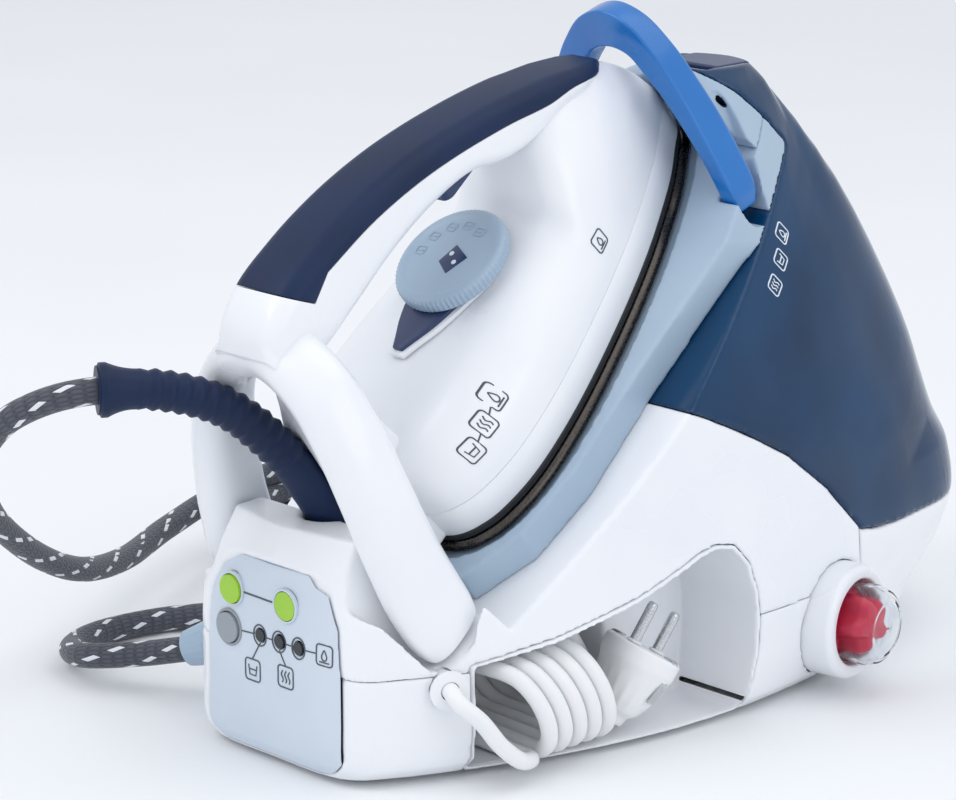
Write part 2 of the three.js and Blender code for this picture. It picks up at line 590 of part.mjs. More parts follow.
function hoopSolid(grow, turn) {
  const lean = -hoopLean + turn;
  const up = vec(0, Math.sin(lean), Math.cos(lean));
  const back = vec(0, Math.cos(lean), -Math.sin(lean));
  const foot = vec(0, hoopPivot.x, hoopPivot.y);
  const rows = [...hoopRows, ...hoopRows.slice(0, -1).reverse().map(([a, b, c, d, e]) => [-a, b, -c, d, e])];
  const rings = rows.map(([ox, oh, ix, ih, half]) => {
    const side = Math.sign(ox);
    const low = Math.abs(ox) > 56 && oh < 0 ? -grow : 0;
    const at = (x, h, d) => foot.clone().addScaledVector(up, h + low).addScaledVector(back, d).setX(x);
    const reach = half + grow;
    const outX = ox + side * grow;
    const inX = ix - side * grow;
    const outH = oh + (side === 0 ? grow : grow * 0.5);
    const inH = ih - (side === 0 ? grow : grow * 0.5);
    return [at(outX, outH, -reach), at(outX, outH, reach * 0.75), at((outX * 3 + inX) / 4, (outH * 3 + inH) / 4, reach),
      at(inX, inH, reach), at(inX, inH, -reach)];
  });
  return facingOut(rings);
}

function hoopPin(side, radius, from, to) {
  return rod(vec(side * from, hoopPivot.x, hoopPivot.y), vec(side * to, hoopPivot.x, hoopPivot.y), radius);
}

function hoopEars() {
  let room = hoopPin(1, 9, 48.6, 80).add(hoopPin(-1, 9, 48.6, 80));
  for (const side of [1, -1]) room = room.add(hoopPin(side, 3.35, 39, 56));
  for (let step = 0; step <= 4; step += 1) room = room.add(hoopSolid(0.8, (hoopTravel * step) / 4));
  return room;
}

function buildHoop() {
  let hoop = hoopSolid(0, 0);
  for (const side of [1, -1]) hoop = hoop.add(hoopPin(side, 8, 49.5, 58));
  for (const side of [1, -1]) hoop = hoop.subtract(hoopPin(side, 3.35, 46, 56));
  add(base, 'lock_hoop', hoop, paint.hoop);
  add(base, 'hoop_pin_right', hoopPin(1, 3, 40, 55.5), paint.steel);
  add(base, 'hoop_pin_left', hoopPin(-1, 3, 40, 55.5), paint.steel);
}

// ---------------------------------------------------------------- the water tank
const tankFront = 12; // the tank starts this far beyond the nose
const fillerHole = { front: 96, rear: 112, throat: 101, half: 15, step: 247, low: 226 };

function tankRegion(grow) {
  const under = ironBox([-far, -far, -far], [far, far, -restDepth - gap - grow]);
  const beyond = ironBox([-far, tankFront + grow, -far], [far, far, far]);
  return under.add(beyond).intersect(sideSolid(tankSide.map(([y, z]) => [y, z + grow]), -far, far));
}

function buildTank() {
  const cavity = inner.intersect(tankRegion(wall));
  const { front, rear, throat, half, step, low } = fillerHole;
  const neck = boxSolid([-half, front, step], [half, rear, far]).add(boxSolid([-half, throat, low], [half, rear, far]));
  const flapCut = neck.add(boxSolid([-17, 77, 258], [17, far, far]));
  const whole = outer.intersect(tankRegion(0)).subtract(cavity).subtract(flapCut);
  add(tank, 'water_tank', biggest(whole), paint.tank);
  const lid = outer.subtract(inner).intersect(boxSolid([-16.6, 85.5, 258.4], [16.6, far, 290]))
    .intersect(ironBox([-far, tankFront + gap, -far], [far, far, far]));
  add(tank, 'filler_flap', biggest(lid), paint.navy);
  add(tank, 'tank_float', rod(vec(0, 150, tankFloorZ + 8), vec(0, 150, tankFloorZ + 26), 14), paint.clearCap);
  add(base, 'rest_pad', toSolid(intoWorld(toGeometry(soleBand(-1.2, -gap, -16)))), paint.rubber);
  const cowl = outer.intersect(ironBox([-far, -6, restRim + gap], [far, tankFront - gap, far]))
    .subtract(toSolid(intoWorld(toGeometry(soleBand(-60, 120, 3.4))))).subtract(hoopEars())
    .subtract(inner.intersect(ironBox([-far, 2, restRim + 4], [far, far, far])));
  add(base, 'rest_cowl', biggest(cowl), paint.paleBlue);
}

// ---------------------------------------------------------------- controls
const panelY = -167;
const controls = [
  ['power_button', -24, 73, 6.2, paint.green],
  ['ready_lens', 10, 73, 6.2, paint.green],
  ['reset_button', -26, 55.5, 6.6, paint.greyButton],
  ['water_lens', -6, 56.5, 2.8, paint.darkLens],
  ['filter_lens', 6, 56.5, 2.8, paint.darkLens],
  ['steam_lens', 18, 56.5, 2.8, paint.darkLens],
];

function buildPanel() {
  let panel = outer.intersect(panelPrism(0, -163));
  for (const [name, x, z, radius, material] of controls) {
    panel = panel.subtract(rod(vec(x, -180, z), vec(x, -160, z), radius + 0.4));
    const proud = name.endsWith('button') ? 1.6 : 0.4;
    const back = name.endsWith('button') ? -158 : -164;
    const geometry = rodGeometry(vec(x, back, z), vec(x, panelY - 0.8 - proud, z), radius);
    add(base, name, geometry, material);
  }
  add(base, 'control_panel', panel, paint.greyPanel);
}

// ---------------------------------------------------------------- the boiler's rinsing valve
function buildCollector() {
  const along = (start) => knobCentre.clone().addScaledVector(knobAxis, start);
  const ring = [[18.8, -5], [bossRadius, -5], [bossRadius, 12], [bossRadius - 2, 14], [20, 14], [18.8, 12.6], [18.8, -5]];
  add(base, 'valve_boss', aimed(turned(ring, 32), knobCentre, knobAxis), paint.whiteShell);
  const plug = [[0, -5], [17, -5], [17.8, -4], [17.8, 5], [15, 6.4], [13, 17], [8, 21], [0, 22]];
  add(base, 'collector_plug', aimed(turned(plug, 20), knobCentre, knobAxis), paint.red);
  const dome = [[18.2, 6.8], [18.2, 20], [16.5, 25.5], [12, 28.6], [0, 29.4], [0, 27.6], [11.5, 26.9], [15, 24.4],
    [16.5, 19.5], [16.5, 8.8], [16.5, 6.8], [18.2, 6.8]];
  add(base, 'collector_cap', aimed(turned(dome, 22), knobCentre, knobAxis), paint.clearCap);
  add(base, 'drain_tube', rod(along(-42), along(-6), 8), paint.casting);
}

// ---------------------------------------------------------------- inside the base
function buildInside() {
  const boiler = [[0, 14], [40, 14], [44, 18], [44, 66], [38, 72], [0, 72]];
  const turnUp = new THREE.Matrix4().makeRotationX(Math.PI / 2);
  const boilerBody = turned(boiler, 20).applyMatrix4(turnUp);
  boilerBody.translate(0, 22, 0);
  add(base, 'boiler', boilerBody, paint.steel);
  const heater = new THREE.TorusGeometry(30, 3.5, 6, 20);
  heater.translate(0, 22, 9.9);
  add(base, 'heating_element', heater, paint.copper);
  const pumpBody = plateSolid(roundedRectangle(17, 26, 6, -42, 118), 9, 44, 3);
  add(base, 'pump', pumpBody, paint.pumpBody);
  add(base, 'solenoid_valve', plateSolid(roundedRectangle(12, 15, 3, 10, 118), 9, 46, 2), paint.pumpBody);
  add(base, 'circuit_board', boxSolid([-40, -134, 14], [2, -132, 46]), paint.board);
  const waterRun = [vec(-42, 145.5, 30), vec(-38, 156, 30), vec(-16, 158, 30), vec(4, 152, 30), vec(10, 134.5, 30)];
  add(base, 'water_pipe', tube(waterRun, 6, 16, 8), paint.rubber);
  const steamRun = [vec(-44.8, 22, 60), vec(-58, 18, 60), vec(-66, -20, 56), vec(-62, -80, 50), vec(-50, -112, 48)];
  add(base, 'steam_pipe', tube(steamRun, 6, 20, 8), paint.copper);
}

// ---------------------------------------------------------------- fittings, feet and pads
function buildFittings() {
  const bushing = turned([[4.1, 0], [6.8, 0], [6.8, 9.6], [8.6, 10.4], [8.6, 12], [4.1, 12], [4.1, 0]], 20);
  const cordOut = new THREE.Vector3().subVectors(cordHole.to, cordHole.from).normalize();
  add(base, 'cord_bushing', aimed(bushing, cordHole.from, cordOut), paint.whiteShell);
  const nozzle = new THREE.Vector3().subVectors(fittingTo, fittingFrom);
  const profile = [[0, 0], [10, 0], [10, 14], [12.5, 16], [12.5, 22], [10.5, 24], [8.2, nozzle.length()],
    [0, nozzle.length()]];
  add(base, 'hose_fitting', aimed(turned(profile, 20), fittingFrom, nozzle), paint.paleBlue);
  const feet = [['front_left', -34, -146], ['front_right', 34, -146], ['rear_left', -50, 130], ['rear_right', 50, 130]];
  for (const [place, x, y] of feet) {
    const pad = turned([[0, 0], [8, 0], [9, 1], [9, footHeight - gap], [0, footHeight - gap]], 16);
    add(base, `foot_${place}`, aimed(pad, vec(x, y, 0), vec(0, 0, 1)), paint.rubber);
  }
}

// ---------------------------------------------------------------- hose, cord and plug
const hoseOut = [vec(-37.2, -222, 167), vec(-47, -236, 165), vec(-66, -247, 155), vec(-92, -246, 132),
  vec(-118, -224, 100), vec(-142, -186, 68), vec(-168, -138, 42), vec(-196, -90, 30), vec(-224, -40, 29),
  vec(-242, 12, 32.5), vec(-247, 50, 34.2)];
const hoseBack = [vec(-117.2, 44, 6.1), vec(-121, 10, 6), vec(-134, -24, 6), vec(-154, -58, 6), vec(-171, -94, 6),
  vec(-173, -126, 6.5), vec(-158, -151, 9), vec(-134, -160, 14), vec(-110, -148, 18), vec(-89.6, -139.7, 23.3)];
const hoseCoil = { x: -182, y: 62, radius: 65, turns: 3.5 };

// The stored power cord: wide turns in sight, then narrow ones behind the plug.
const coilFront = -105.5; // y of the middle of the first turn
const coilPitch = 9.2;
const wideTurns = 5;
const narrowPitch = 7.9;
const narrowTurns = 3;
const coilLean = 0.36; // how far the turns lean towards the panel, per unit of height
const coilLow = 4.9;
const coilTop = 49.4;
const coilRise = 0.9; // each turn is this much taller than the one before
const coilInnerX = 10.3;
const coilWideX = 97.7;
const coilNarrowX = 61.7;
const plugAxis = vec(0.156, 0.49, 0.85).normalize();
const plugFace = vec(84, -28.5, 40.2);
const plugLength = 35;
const pinLength = 19;
const pinSpacing = 19;
const pinRadius = 2.4;

function coilBlock(fromY, toY, outerX) {
  const radius = 20;
  const ringAt = (y) => {
    const top = coilTop + (coilRise * (y - coilFront)) / coilPitch;
    const middle = (top + coilLow) / 2;
    const half = (top - coilLow) / 2;
    const ring = [];
    for (const side of [1, -1]) {
      for (let i = 0; i <= 8; i += 1) {
        const hub = side > 0 ? outerX - radius : coilInnerX + radius;
        const z = middle + side * half * Math.sin(-Math.PI / 2 + (Math.PI * i) / 8);
        const x = hub + side * radius * Math.cos(-Math.PI / 2 + (Math.PI * i) / 8);
        ring.push(vec(x, y - coilLean * (z - middle), z));
      }
    }
    return ring;
  };
  return facingOut([ringAt(fromY), ringAt(toY)]);
}

function buildCords() {
  const sleeve = tube(sleeveRun, 19, 14, 12);
  add(iron, 'hose_sleeve', toSolid(sleeve.applyMatrix4(ironPose.clone().invert())), paint.navy);
  add(base, 'steam_hose_front', tube(hoseOut, hoseDiameter, 24), paint.hose);
  add(base, 'steam_hose_return', tube(hoseBack, hoseDiameter, 18), paint.hose);
  const across = hoseDiameter / 2;
  const tall = hoseCoil.turns * hoseDiameter;
  const section = [[hoseCoil.radius - across, 0.3], [hoseCoil.radius + across, 0.3], [hoseCoil.radius + across, tall],
    [hoseCoil.radius - across, tall], [hoseCoil.radius - across, 0.3]];
  let coil = toSolid(aimed(turned(section, 28), vec(hoseCoil.x, hoseCoil.y, 0), vec(0, 0, 1)))
    .subtract(toSolid(tube(hoseBack, hoseDiameter + gap * 2, 18)));
  const entry = toSolid(tube([...hoseOut, vec(-247.3, 53, 34.4)], hoseDiameter + gap * 4, 24));
  for (let lift = 0; lift <= 21; lift += 3) coil = coil.subtract(entry.translate(liftBy(lift)));
  add(base, 'steam_hose_coil', biggest(coil), paint.hose);

  const half = cordDiameter / 2;
  const wideEnd = coilFront + (wideTurns - 1) * coilPitch + half;
  const wound = coilBlock(coilFront - half, wideEnd, coilWideX)
    .add(coilBlock(wideEnd - 4, wideEnd + narrowTurns * narrowPitch, coilNarrowX));
  add(base, 'power_cord_coil', wound, paint.whiteCord);
  const lead = [vec(73.8, -133.2, 43), vec(80, -134.5, 40), vec(86, -129, 33), vec(90.5, -120, 20), vec(92.5, -111.5, 11),
    vec(93, -102.2, 8.8)];
  add(base, 'power_cord_lead', toSolid(tube(lead, cordDiameter, 12)).subtract(grownCoil()), paint.whiteCord);
  const plugBack = plugFace.clone().addScaledVector(plugAxis, -plugLength);
  const body = turned([[0, 0], [10, 0], [12.5, 2], [16, 14], [18.2, 26], [18.8, 31], [18.8, plugLength], [0, plugLength]], 24);
  add(base, 'plug_body', aimed(body, plugBack, plugAxis), paint.whiteCord);
  const spread = vec(-0.11, 0.93, -0.33).projectOnPlane(plugAxis).normalize();
  ['a', 'b'].forEach((label, i) => {
    const foot = plugFace.clone().addScaledVector(spread, (i - 0.5) * pinSpacing).addScaledVector(plugAxis, gap);
    const tip = foot.clone().addScaledVector(plugAxis, pinLength);
    add(base, `plug_pin_${label}`, rod(foot, tip, pinRadius, pinRadius, 12), paint.steel);
  });
  const tail = [vec(60, -37, 15), vec(64, -38.5, 14.5), vec(70, -42, 14)];
  const tailTube = toSolid(tube(tail, cordDiameter, 4)).subtract(grownCoil())
    .subtract(toSolid(aimed(turned([[0, -1], [10.5, -0.3], [12.9, 1.8], [16.4, 14], [18.6, 26], [0, 36]], 24), plugBack,
      plugAxis)));
  add(base, 'power_cord_tail', biggest(tailTube), paint.whiteCord);
}

function grownCoil() {
  const half = cordDiameter / 2 + gap;
  const wideEnd = coilFront + (wideTurns - 1) * coilPitch + half;
  return coilBlock(coilFront - half, wideEnd, coilWideX + gap)
    .add(coilBlock(wideEnd - 4, wideEnd + narrowTurns * narrowPitch, coilNarrowX + gap));
}

buildIron();
buildBase();
buildHoop();
buildTank();
buildPanel();
buildCollector();
buildInside();
buildFittings();
buildCords();

// The origin is under the middle of the object's box, measured without the hose, the cord and their fittings.
const loose = ['hose_sleeve', 'steam_hose_front', 'steam_hose_return', 'steam_hose_coil', 'power_cord_lead',
  'power_cord_coil', 'power_cord_tail', 'plug_body', 'plug_pin_a', 'plug_pin_b'];
const model = new THREE.Group();
model.add(base, tank, iron);
model.updateMatrixWorld(true);
const extent = new THREE.Box3();
model.traverse((part) => {
  if (part.isMesh && !loose.includes(part.name)) extent.expandByObject(part, true);
});
const middle = extent.getCenter(new THREE.Vector3());
model.position.set(-middle.x, -middle.y, -extent.min.z);
export default model;
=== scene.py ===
import json
import math

import bmesh
import bpy
import numpy as np
from mathutils import Matrix, Vector
from mathutils.bvhtree import BVHTree


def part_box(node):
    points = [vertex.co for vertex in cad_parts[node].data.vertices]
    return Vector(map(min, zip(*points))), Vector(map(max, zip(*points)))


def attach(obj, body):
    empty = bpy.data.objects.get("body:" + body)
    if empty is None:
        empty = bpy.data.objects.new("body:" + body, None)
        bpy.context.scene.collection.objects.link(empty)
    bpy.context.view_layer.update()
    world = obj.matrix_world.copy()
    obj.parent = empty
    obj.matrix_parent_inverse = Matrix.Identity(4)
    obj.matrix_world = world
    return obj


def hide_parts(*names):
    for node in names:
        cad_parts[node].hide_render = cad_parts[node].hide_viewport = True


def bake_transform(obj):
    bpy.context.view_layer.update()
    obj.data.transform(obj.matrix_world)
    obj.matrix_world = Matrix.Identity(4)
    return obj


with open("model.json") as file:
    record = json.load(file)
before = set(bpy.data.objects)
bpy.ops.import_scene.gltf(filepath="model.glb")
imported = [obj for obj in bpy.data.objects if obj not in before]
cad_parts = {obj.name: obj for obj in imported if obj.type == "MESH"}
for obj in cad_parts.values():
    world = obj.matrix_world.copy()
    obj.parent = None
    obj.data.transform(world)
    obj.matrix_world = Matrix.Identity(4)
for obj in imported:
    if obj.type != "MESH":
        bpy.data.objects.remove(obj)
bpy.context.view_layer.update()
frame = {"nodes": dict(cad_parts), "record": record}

nodes = frame["nodes"]
print("frame loaded:", len(nodes), "nodes")

# Drawing millimetres to the row frame: the front right foot says where the drawing's origin is.
footLow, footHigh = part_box("foot_front_right")
drawingShift = np.array([(footLow[0] + footHigh[0]) / 2 * 1000 - 34,
                         (footLow[1] + footHigh[1]) / 2 * 1000 + 146, 0.0])
restSlope = math.radians(40.5)
noseAt = np.array([0.0, 83.0, 238.6])
ironLong = np.array([0.0, math.cos(restSlope), math.sin(restSlope)])  # towards the nose
ironUp = np.array([0.0, -math.sin(restSlope), math.cos(restSlope)])  # off the soleplate


def place(points):
    return (np.asarray(points, float) + drawingShift) / 1000


def ironPlace(points):
    p = np.asarray(points, float)
    world = noseAt + p[..., 0:1] * np.array([1.0, 0, 0]) + p[..., 1:2] * ironLong + p[..., 2:3] * ironUp
    return place(world)


# ---- colours and materials

def fromHex(code):
    parts = [int(code[i:i + 2], 16) / 255 for i in (1, 3, 5)]
    return [c / 12.92 if c <= 0.04045 else ((c + 0.055) / 1.055) ** 2.4 for c in parts] + [1.0]


def addNode(mat, kind, settings=None, links=None):
    node = mat.node_tree.nodes.new(kind)
    for key, value in (settings or {}).items():
        if isinstance(key, str) and hasattr(node, key):
            setattr(node, key, value)
        else:
            node.inputs[key].default_value = value
    for key, socket in (links or {}).items():
        mat.node_tree.links.new(socket, node.inputs[key])
    return node


def newMaterial(name):
    mat = bpy.data.materials.new(name)
    mat.use_nodes = True
    mat.node_tree.nodes.clear()
    return mat


def colourRamp(mat, factor, stops):
    ramp = addNode(mat, "ShaderNodeValToRGB", links={"Fac": factor})
    while len(ramp.color_ramp.elements) < len(stops):
        ramp.color_ramp.elements.new(0.5)
    for element, (spot, colour) in zip(ramp.color_ramp.elements, stops):
        element.position = spot
        element.color = fromHex(colour)
    return ramp.outputs["Color"]


def surface(mat, settings, links=None):
    shader = addNode(mat, "ShaderNodeBsdfPrincipled", settings, links)
    addNode(mat, "ShaderNodeOutputMaterial", links={"Surface": shader.outputs[0]})
    return mat


# Injection moulded plastic: a fine spark-eroded grain breaks up the gloss, and slow drifts keep it from
# looking flat.
def mouldedPlastic(name, look):
    mat = newMaterial(name)
    where = addNode(mat, "ShaderNodeTexCoord").outputs["Object"]
    grain = addNode(mat, "ShaderNodeTexNoise", {"Scale": 1000 / look["grainMm"], "Detail": 3.0},
                    {"Vector": where})
    drift = addNode(mat, "ShaderNodeTexNoise", {"Scale": 14.0, "Detail": 2.0}, {"Vector": where})
    colour = colourRamp(mat, drift.outputs["Fac"], [(0.3, look["shade"]), (0.62, look["colour"])])
    sheen = addNode(mat, "ShaderNodeMapRange", {"From Min": 0.3, "From Max": 0.7,
                                                "To Min": look["rough"] - 0.04,
                                                "To Max": look["rough"] + 0.05},
                    {"Value": drift.outputs["Fac"]})
    bump = addNode(mat, "ShaderNodeBump", {"Strength": look["bump"], "Distance": 0.0002},
                   {"Height": grain.outputs["Fac"]})
    settings = {"IOR": 1.53}
    settings.update(look.get("extra", {}))
    return surface(mat, settings, {"Base Color": colour, "Roughness": sheen.outputs["Result"],
                                   "Normal": bump.outputs["Normal"]})


# Metals: drawn or milled lines along one axis, or the soft pitting of a casting.
def workedMetal(name, look):
    mat = newMaterial(name)
    where = addNode(mat, "ShaderNodeTexCoord").outputs["Object"]
    stretch = addNode(mat, "ShaderNodeMapping", {"Scale": look["stretch"]}, {"Vector": where})
    lines = addNode(mat, "ShaderNodeTexNoise", {"Scale": 1000 / look["lineMm"], "Detail": 4.0},
                    {"Vector": stretch.outputs["Vector"]})
    rough = addNode(mat, "ShaderNodeMapRange", {"From Min": 0.3, "From Max": 0.7,
                                                "To Min": look["rough"] - 0.07,
                                                "To Max": look["rough"] + 0.1},
                    {"Value": lines.outputs["Fac"]})
    bump = addNode(mat, "ShaderNodeBump", {"Strength": look["bump"], "Distance": 0.0002},
                   {"Height": lines.outputs["Fac"]})
    colour = colourRamp(mat, lines.outputs["Fac"], [(0.25, look["shade"]), (0.7, look["colour"])])
    return surface(mat, {"Metallic": 1.0}, {"Base Color": colour, "Roughness": rough.outputs["Result"],
                                            "Normal": bump.outputs["Normal"]})


# White ABS from a polished mould: bright, with wide soft highlights.
whiteAbs = mouldedPlastic("whiteAbs", {"colour": "#F3F5F8", "shade": "#ECEFF4", "rough": 0.3,
                                       "grainMm": 1.1, "bump": 0.05,
                                       "extra": {"Coat Weight": 0.25, "Coat Roughness": 0.12}})
# Pale blue ABS: a cooler, slightly duller moulding for the tray and the dial.
paleBlueAbs = mouldedPlastic("paleBlueAbs", {"colour": "#A9BDCF", "shade": "#9DB3C7", "rough": 0.38,
                                             "grainMm": 1.0, "bump": 0.08})
# Silk printed polycarbonate plate: even and a little pearly.
panelPlate = mouldedPlastic("panelPlate", {"colour": "#D3DDE8", "shade": "#C8D4E1", "rough": 0.36,
                                           "grainMm": 0.8, "bump": 0.1, "extra": {"Coat Weight": 0.15}})
# Soft-touch lacquer over nylon: almost no gloss, a dense fine grain.
navySoftTouch = mouldedPlastic("navySoftTouch", {"colour": "#12284C", "shade": "#0D1F3E", "rough": 0.46,
                                                 "grainMm": 0.9, "bump": 0.16,
                                                 "extra": {"Specular IOR Level": 0.25}})
# Dark nylon of the trigger and pointer.
navyNylon = mouldedPlastic("navyNylon", {"colour": "#2A3C63", "shade": "#22335A", "rough": 0.36,
                                         "grainMm": 0.9, "bump": 0.08})
# Bright blue ABS of the lock hoop: saturated, with a clear gloss.
blueAbs = mouldedPlastic("blueAbs", {"colour": "#1273C2", "shade": "#0A66B4", "rough": 0.28, "grainMm": 1.2,
                                     "bump": 0.05, "extra": {"Coat Weight": 0.3, "Coat Roughness": 0.15}})
# Tinted SAN of the tank: deep blue, glossy, and a little light comes back out of the wall.
tintedSan = mouldedPlastic("tintedSan", {"colour": "#083C63", "shade": "#062B4C", "rough": 0.14,
                                         "grainMm": 2.5, "bump": 0.02,
                                         "extra": {"Specular IOR Level": 0.3, "Coat Weight": 0.08,
                                                   "Coat Roughness": 0.06, "Subsurface Weight": 0.06,
                                                   "Subsurface Scale": 0.003}})
# Crimson nylon of the scale collector.
crimsonNylon = mouldedPlastic("crimsonNylon", {"colour": "#E81E50", "shade": "#D2123F", "rough": 0.32,
                                               "grainMm": 1.0, "bump": 0.06,
                                               "extra": {"Subsurface Weight": 0.1,
                                                         "Subsurface Scale": 0.002}})
# Light caps of green acrylic: they glow a little from inside.
greenAcrylic = mouldedPlastic("greenAcrylic", {"colour": "#97C420", "shade": "#86B414", "rough": 0.22,
                                               "grainMm": 1.0, "bump": 0.05,
                                               "extra": {"Emission Color": fromHex("#8FC41A"),
                                                         "Emission Strength": 0.18, "Coat Weight": 0.4}})
# Grey ABS of the reset key.
greyAbs = mouldedPlastic("greyAbs", {"colour": "#9BA2AA", "shade": "#8B939C", "rough": 0.34, "grainMm": 0.9,
                                     "bump": 0.1})
# Smoked lens over the small lights.
smokedLens = mouldedPlastic("smokedLens", {"colour": "#2B3036", "shade": "#1F2328", "rough": 0.15,
                                           "grainMm": 1.0, "bump": 0.03})
# Heat-proof silicone seal and the rubber feet: black and dull.
siliconeBlack = mouldedPlastic("siliconeBlack", {"colour": "#26282C", "shade": "#1C1E21", "rough": 0.6,
                                                 "grainMm": 0.8, "bump": 0.25})
# Dark panel ink: screen print that sits a hair proud of the plastic.
slateInk = mouldedPlastic("slateInk", {"colour": "#4B5560", "shade": "#414A54", "rough": 0.5,
                                       "grainMm": 0.6, "bump": 0.1})
# White ink on the tank.
whiteInk = mouldedPlastic("whiteInk", {"colour": "#E4ECF4", "shade": "#D6E0EA", "rough": 0.5,
                                       "grainMm": 0.6, "bump": 0.1})
# White PVC sheath of the mains cord and the plug: softer and a touch warmer than the shell.
whitePvc = mouldedPlastic("whitePvc", {"colour": "#F1F2F3", "shade": "#E8EAEC", "rough": 0.42,
                                       "grainMm": 1.4, "bump": 0.08,
                                       "extra": {"Subsurface Weight": 0.08, "Subsurface Scale": 0.002}})
# Glass-filled nylon of the pump and valve.
glassNylon = mouldedPlastic("glassNylon", {"colour": "#3A3D42", "shade": "#303338", "rough": 0.5,
                                           "grainMm": 0.7, "bump": 0.3})
# Green solder mask.
solderMask = mouldedPlastic("solderMask", {"colour": "#1F5E3D", "shade": "#184D31", "rough": 0.35,
                                           "grainMm": 1.5, "bump": 0.05})
# Nickel plated brass pins: fine turning marks round the pin.
nickelPlate = workedMetal("nickelPlate", {"colour": "#D9DBDD", "shade": "#B9BCC0", "rough": 0.2,
                                          "lineMm": 1.2, "bump": 0.05, "stretch": (1, 1, 3)})
# Polished soleplate edge in steel: its dark smoky colour is painted shade of the gap where the iron sits in
# the tray.
soleSteelPaintedShade = workedMetal("soleSteelPaintedShade", {"colour": "#5C5855", "shade": "#45413F", "rough": 0.26,
                                          "lineMm": 1.6, "bump": 0.05, "stretch": (3, 1, 1)})
# Drawn stainless steel of the boiler.
drawnSteel = workedMetal("drawnSteel", {"colour": "#C3C6CA", "shade": "#A4A8AD", "rough": 0.28,
                                        "lineMm": 1.2, "bump": 0.1, "stretch": (6, 6, 0.6)})
# Die-cast aluminium: a grey skin with soft pits.
castAluminium = workedMetal("castAluminium", {"colour": "#A9ACAF", "shade": "#8D9094", "rough": 0.48,
                                              "lineMm": 1.4, "bump": 0.3, "stretch": (1, 1, 1)})
# Copper tube with a brown bloom.
copperTube = workedMetal("copperTube", {"colour": "#C98A5F", "shade": "#A86A43", "rough": 0.3,
                                        "lineMm": 2.0, "bump": 0.08, "stretch": (1, 1, 1)})


# Clear polycarbonate: water-clear with sharp reflections.
def clearPlastic(name):
    mat = newMaterial(name)
    where = addNode(mat, "ShaderNodeTexCoord").outputs["Object"]
    ripple = addNode(mat, "ShaderNodeTexNoise", {"Scale": 90.0, "Detail": 1.0}, {"Vector": where})
    bump = addNode(mat, "ShaderNodeBump", {"Strength": 0.04, "Distance": 0.001},
                   {"Height": ripple.outputs["Fac"]})
    colour = colourRamp(mat, ripple.outputs["Fac"], [(0.3, "#F4F8FB"), (0.7, "#FFFFFF")])
    return surface(mat, {"IOR": 1.22, "Transmission Weight": 1.0, "Roughness": 0.02},
                   {"Base Color": colour, "Normal": bump.outputs["Normal"]})


clearPolycarbonate = clearPlastic("clearPolycarbonate")


# Braided textile sleeve: dark diagonal yarns crossing both ways, with painted light on the yarn crowns and
# painted shade in the dips between them, and single pale yarns that show as flecks.
def braidedSleeve(name):
    yarns = {"across": 9, "alongPerRound": 3.2, "dark": "#3A3D46", "mid": "#555963", "fleck": "#E7E9EC"}
    mat = newMaterial(name)
    uv = addNode(mat, "ShaderNodeUVMap", {"uv_map": "braidUv"}).outputs["UV"]
    parts = addNode(mat, "ShaderNodeSeparateXYZ", links={"Vector": uv})

    def calc(operation, first, second=None):
        settings, links = {"operation": operation}, {}
        for slotNumber, value in enumerate((first, second)):
            if value is None:
                continue
            if isinstance(value, (int, float)):
                settings[slotNumber] = value
            else:
                links[slotNumber] = value
        return addNode(mat, "ShaderNodeMath", settings, links).outputs[0]

    round_ = calc("MULTIPLY", parts.outputs["X"], yarns["across"])
    along = calc("MULTIPLY", parts.outputs["Y"], yarns["alongPerRound"])
    left = calc("ADD", round_, along)
    right = calc("SUBTRACT", round_, along)
    leftWave = calc("SINE", calc("MULTIPLY", left, 2 * math.pi))
    rightWave = calc("SINE", calc("MULTIPLY", right, 2 * math.pi))
    over = calc("GREATER_THAN", calc("MULTIPLY", leftWave, rightWave), 0.0)
    height = calc("MAXIMUM", calc("ABSOLUTE", leftWave), calc("ABSOLUTE", rightWave))
    # painted light and shade: the yarn on top at each crossing and the yarn crowns come out lighter, the
    # dips between yarns darker
    shade = calc("ADD", calc("MULTIPLY", over, 0.35), calc("MULTIPLY", height, 0.5))
    colour = colourRamp(mat, shade, [(0.2, yarns["dark"]), (0.85, yarns["mid"])])
    # one pale yarn in three, seen only where it passes over
    every = calc("LESS_THAN", calc("FRACT", calc("DIVIDE", left, 3.0)), 0.17)
    shown = calc("LESS_THAN", calc("FRACT", calc("DIVIDE", right, 2.0)), 0.5)
    fleck = calc("MULTIPLY", every, shown)
    mixed = addNode(mat, "ShaderNodeMix", {"data_type": "RGBA"})
    mat.node_tree.links.new(fleck, mixed.inputs["Factor"])
    mat.node_tree.links.new(colour, mixed.inputs[6])
    mixed.inputs[7].default_value = fromHex(yarns["fleck"])
    bump = addNode(mat, "ShaderNodeBump", {"Strength": 0.6, "Distance": 0.0006}, {"Height": height})
    return surface(mat, {"Roughness": 0.78, "Sheen Weight": 0.3, "Sheen Roughness": 0.4},
                   {"Base Color": mixed.outputs[2], "Normal": bump.outputs["Normal"]})


braidedHose = braidedSleeve("braidedHose")

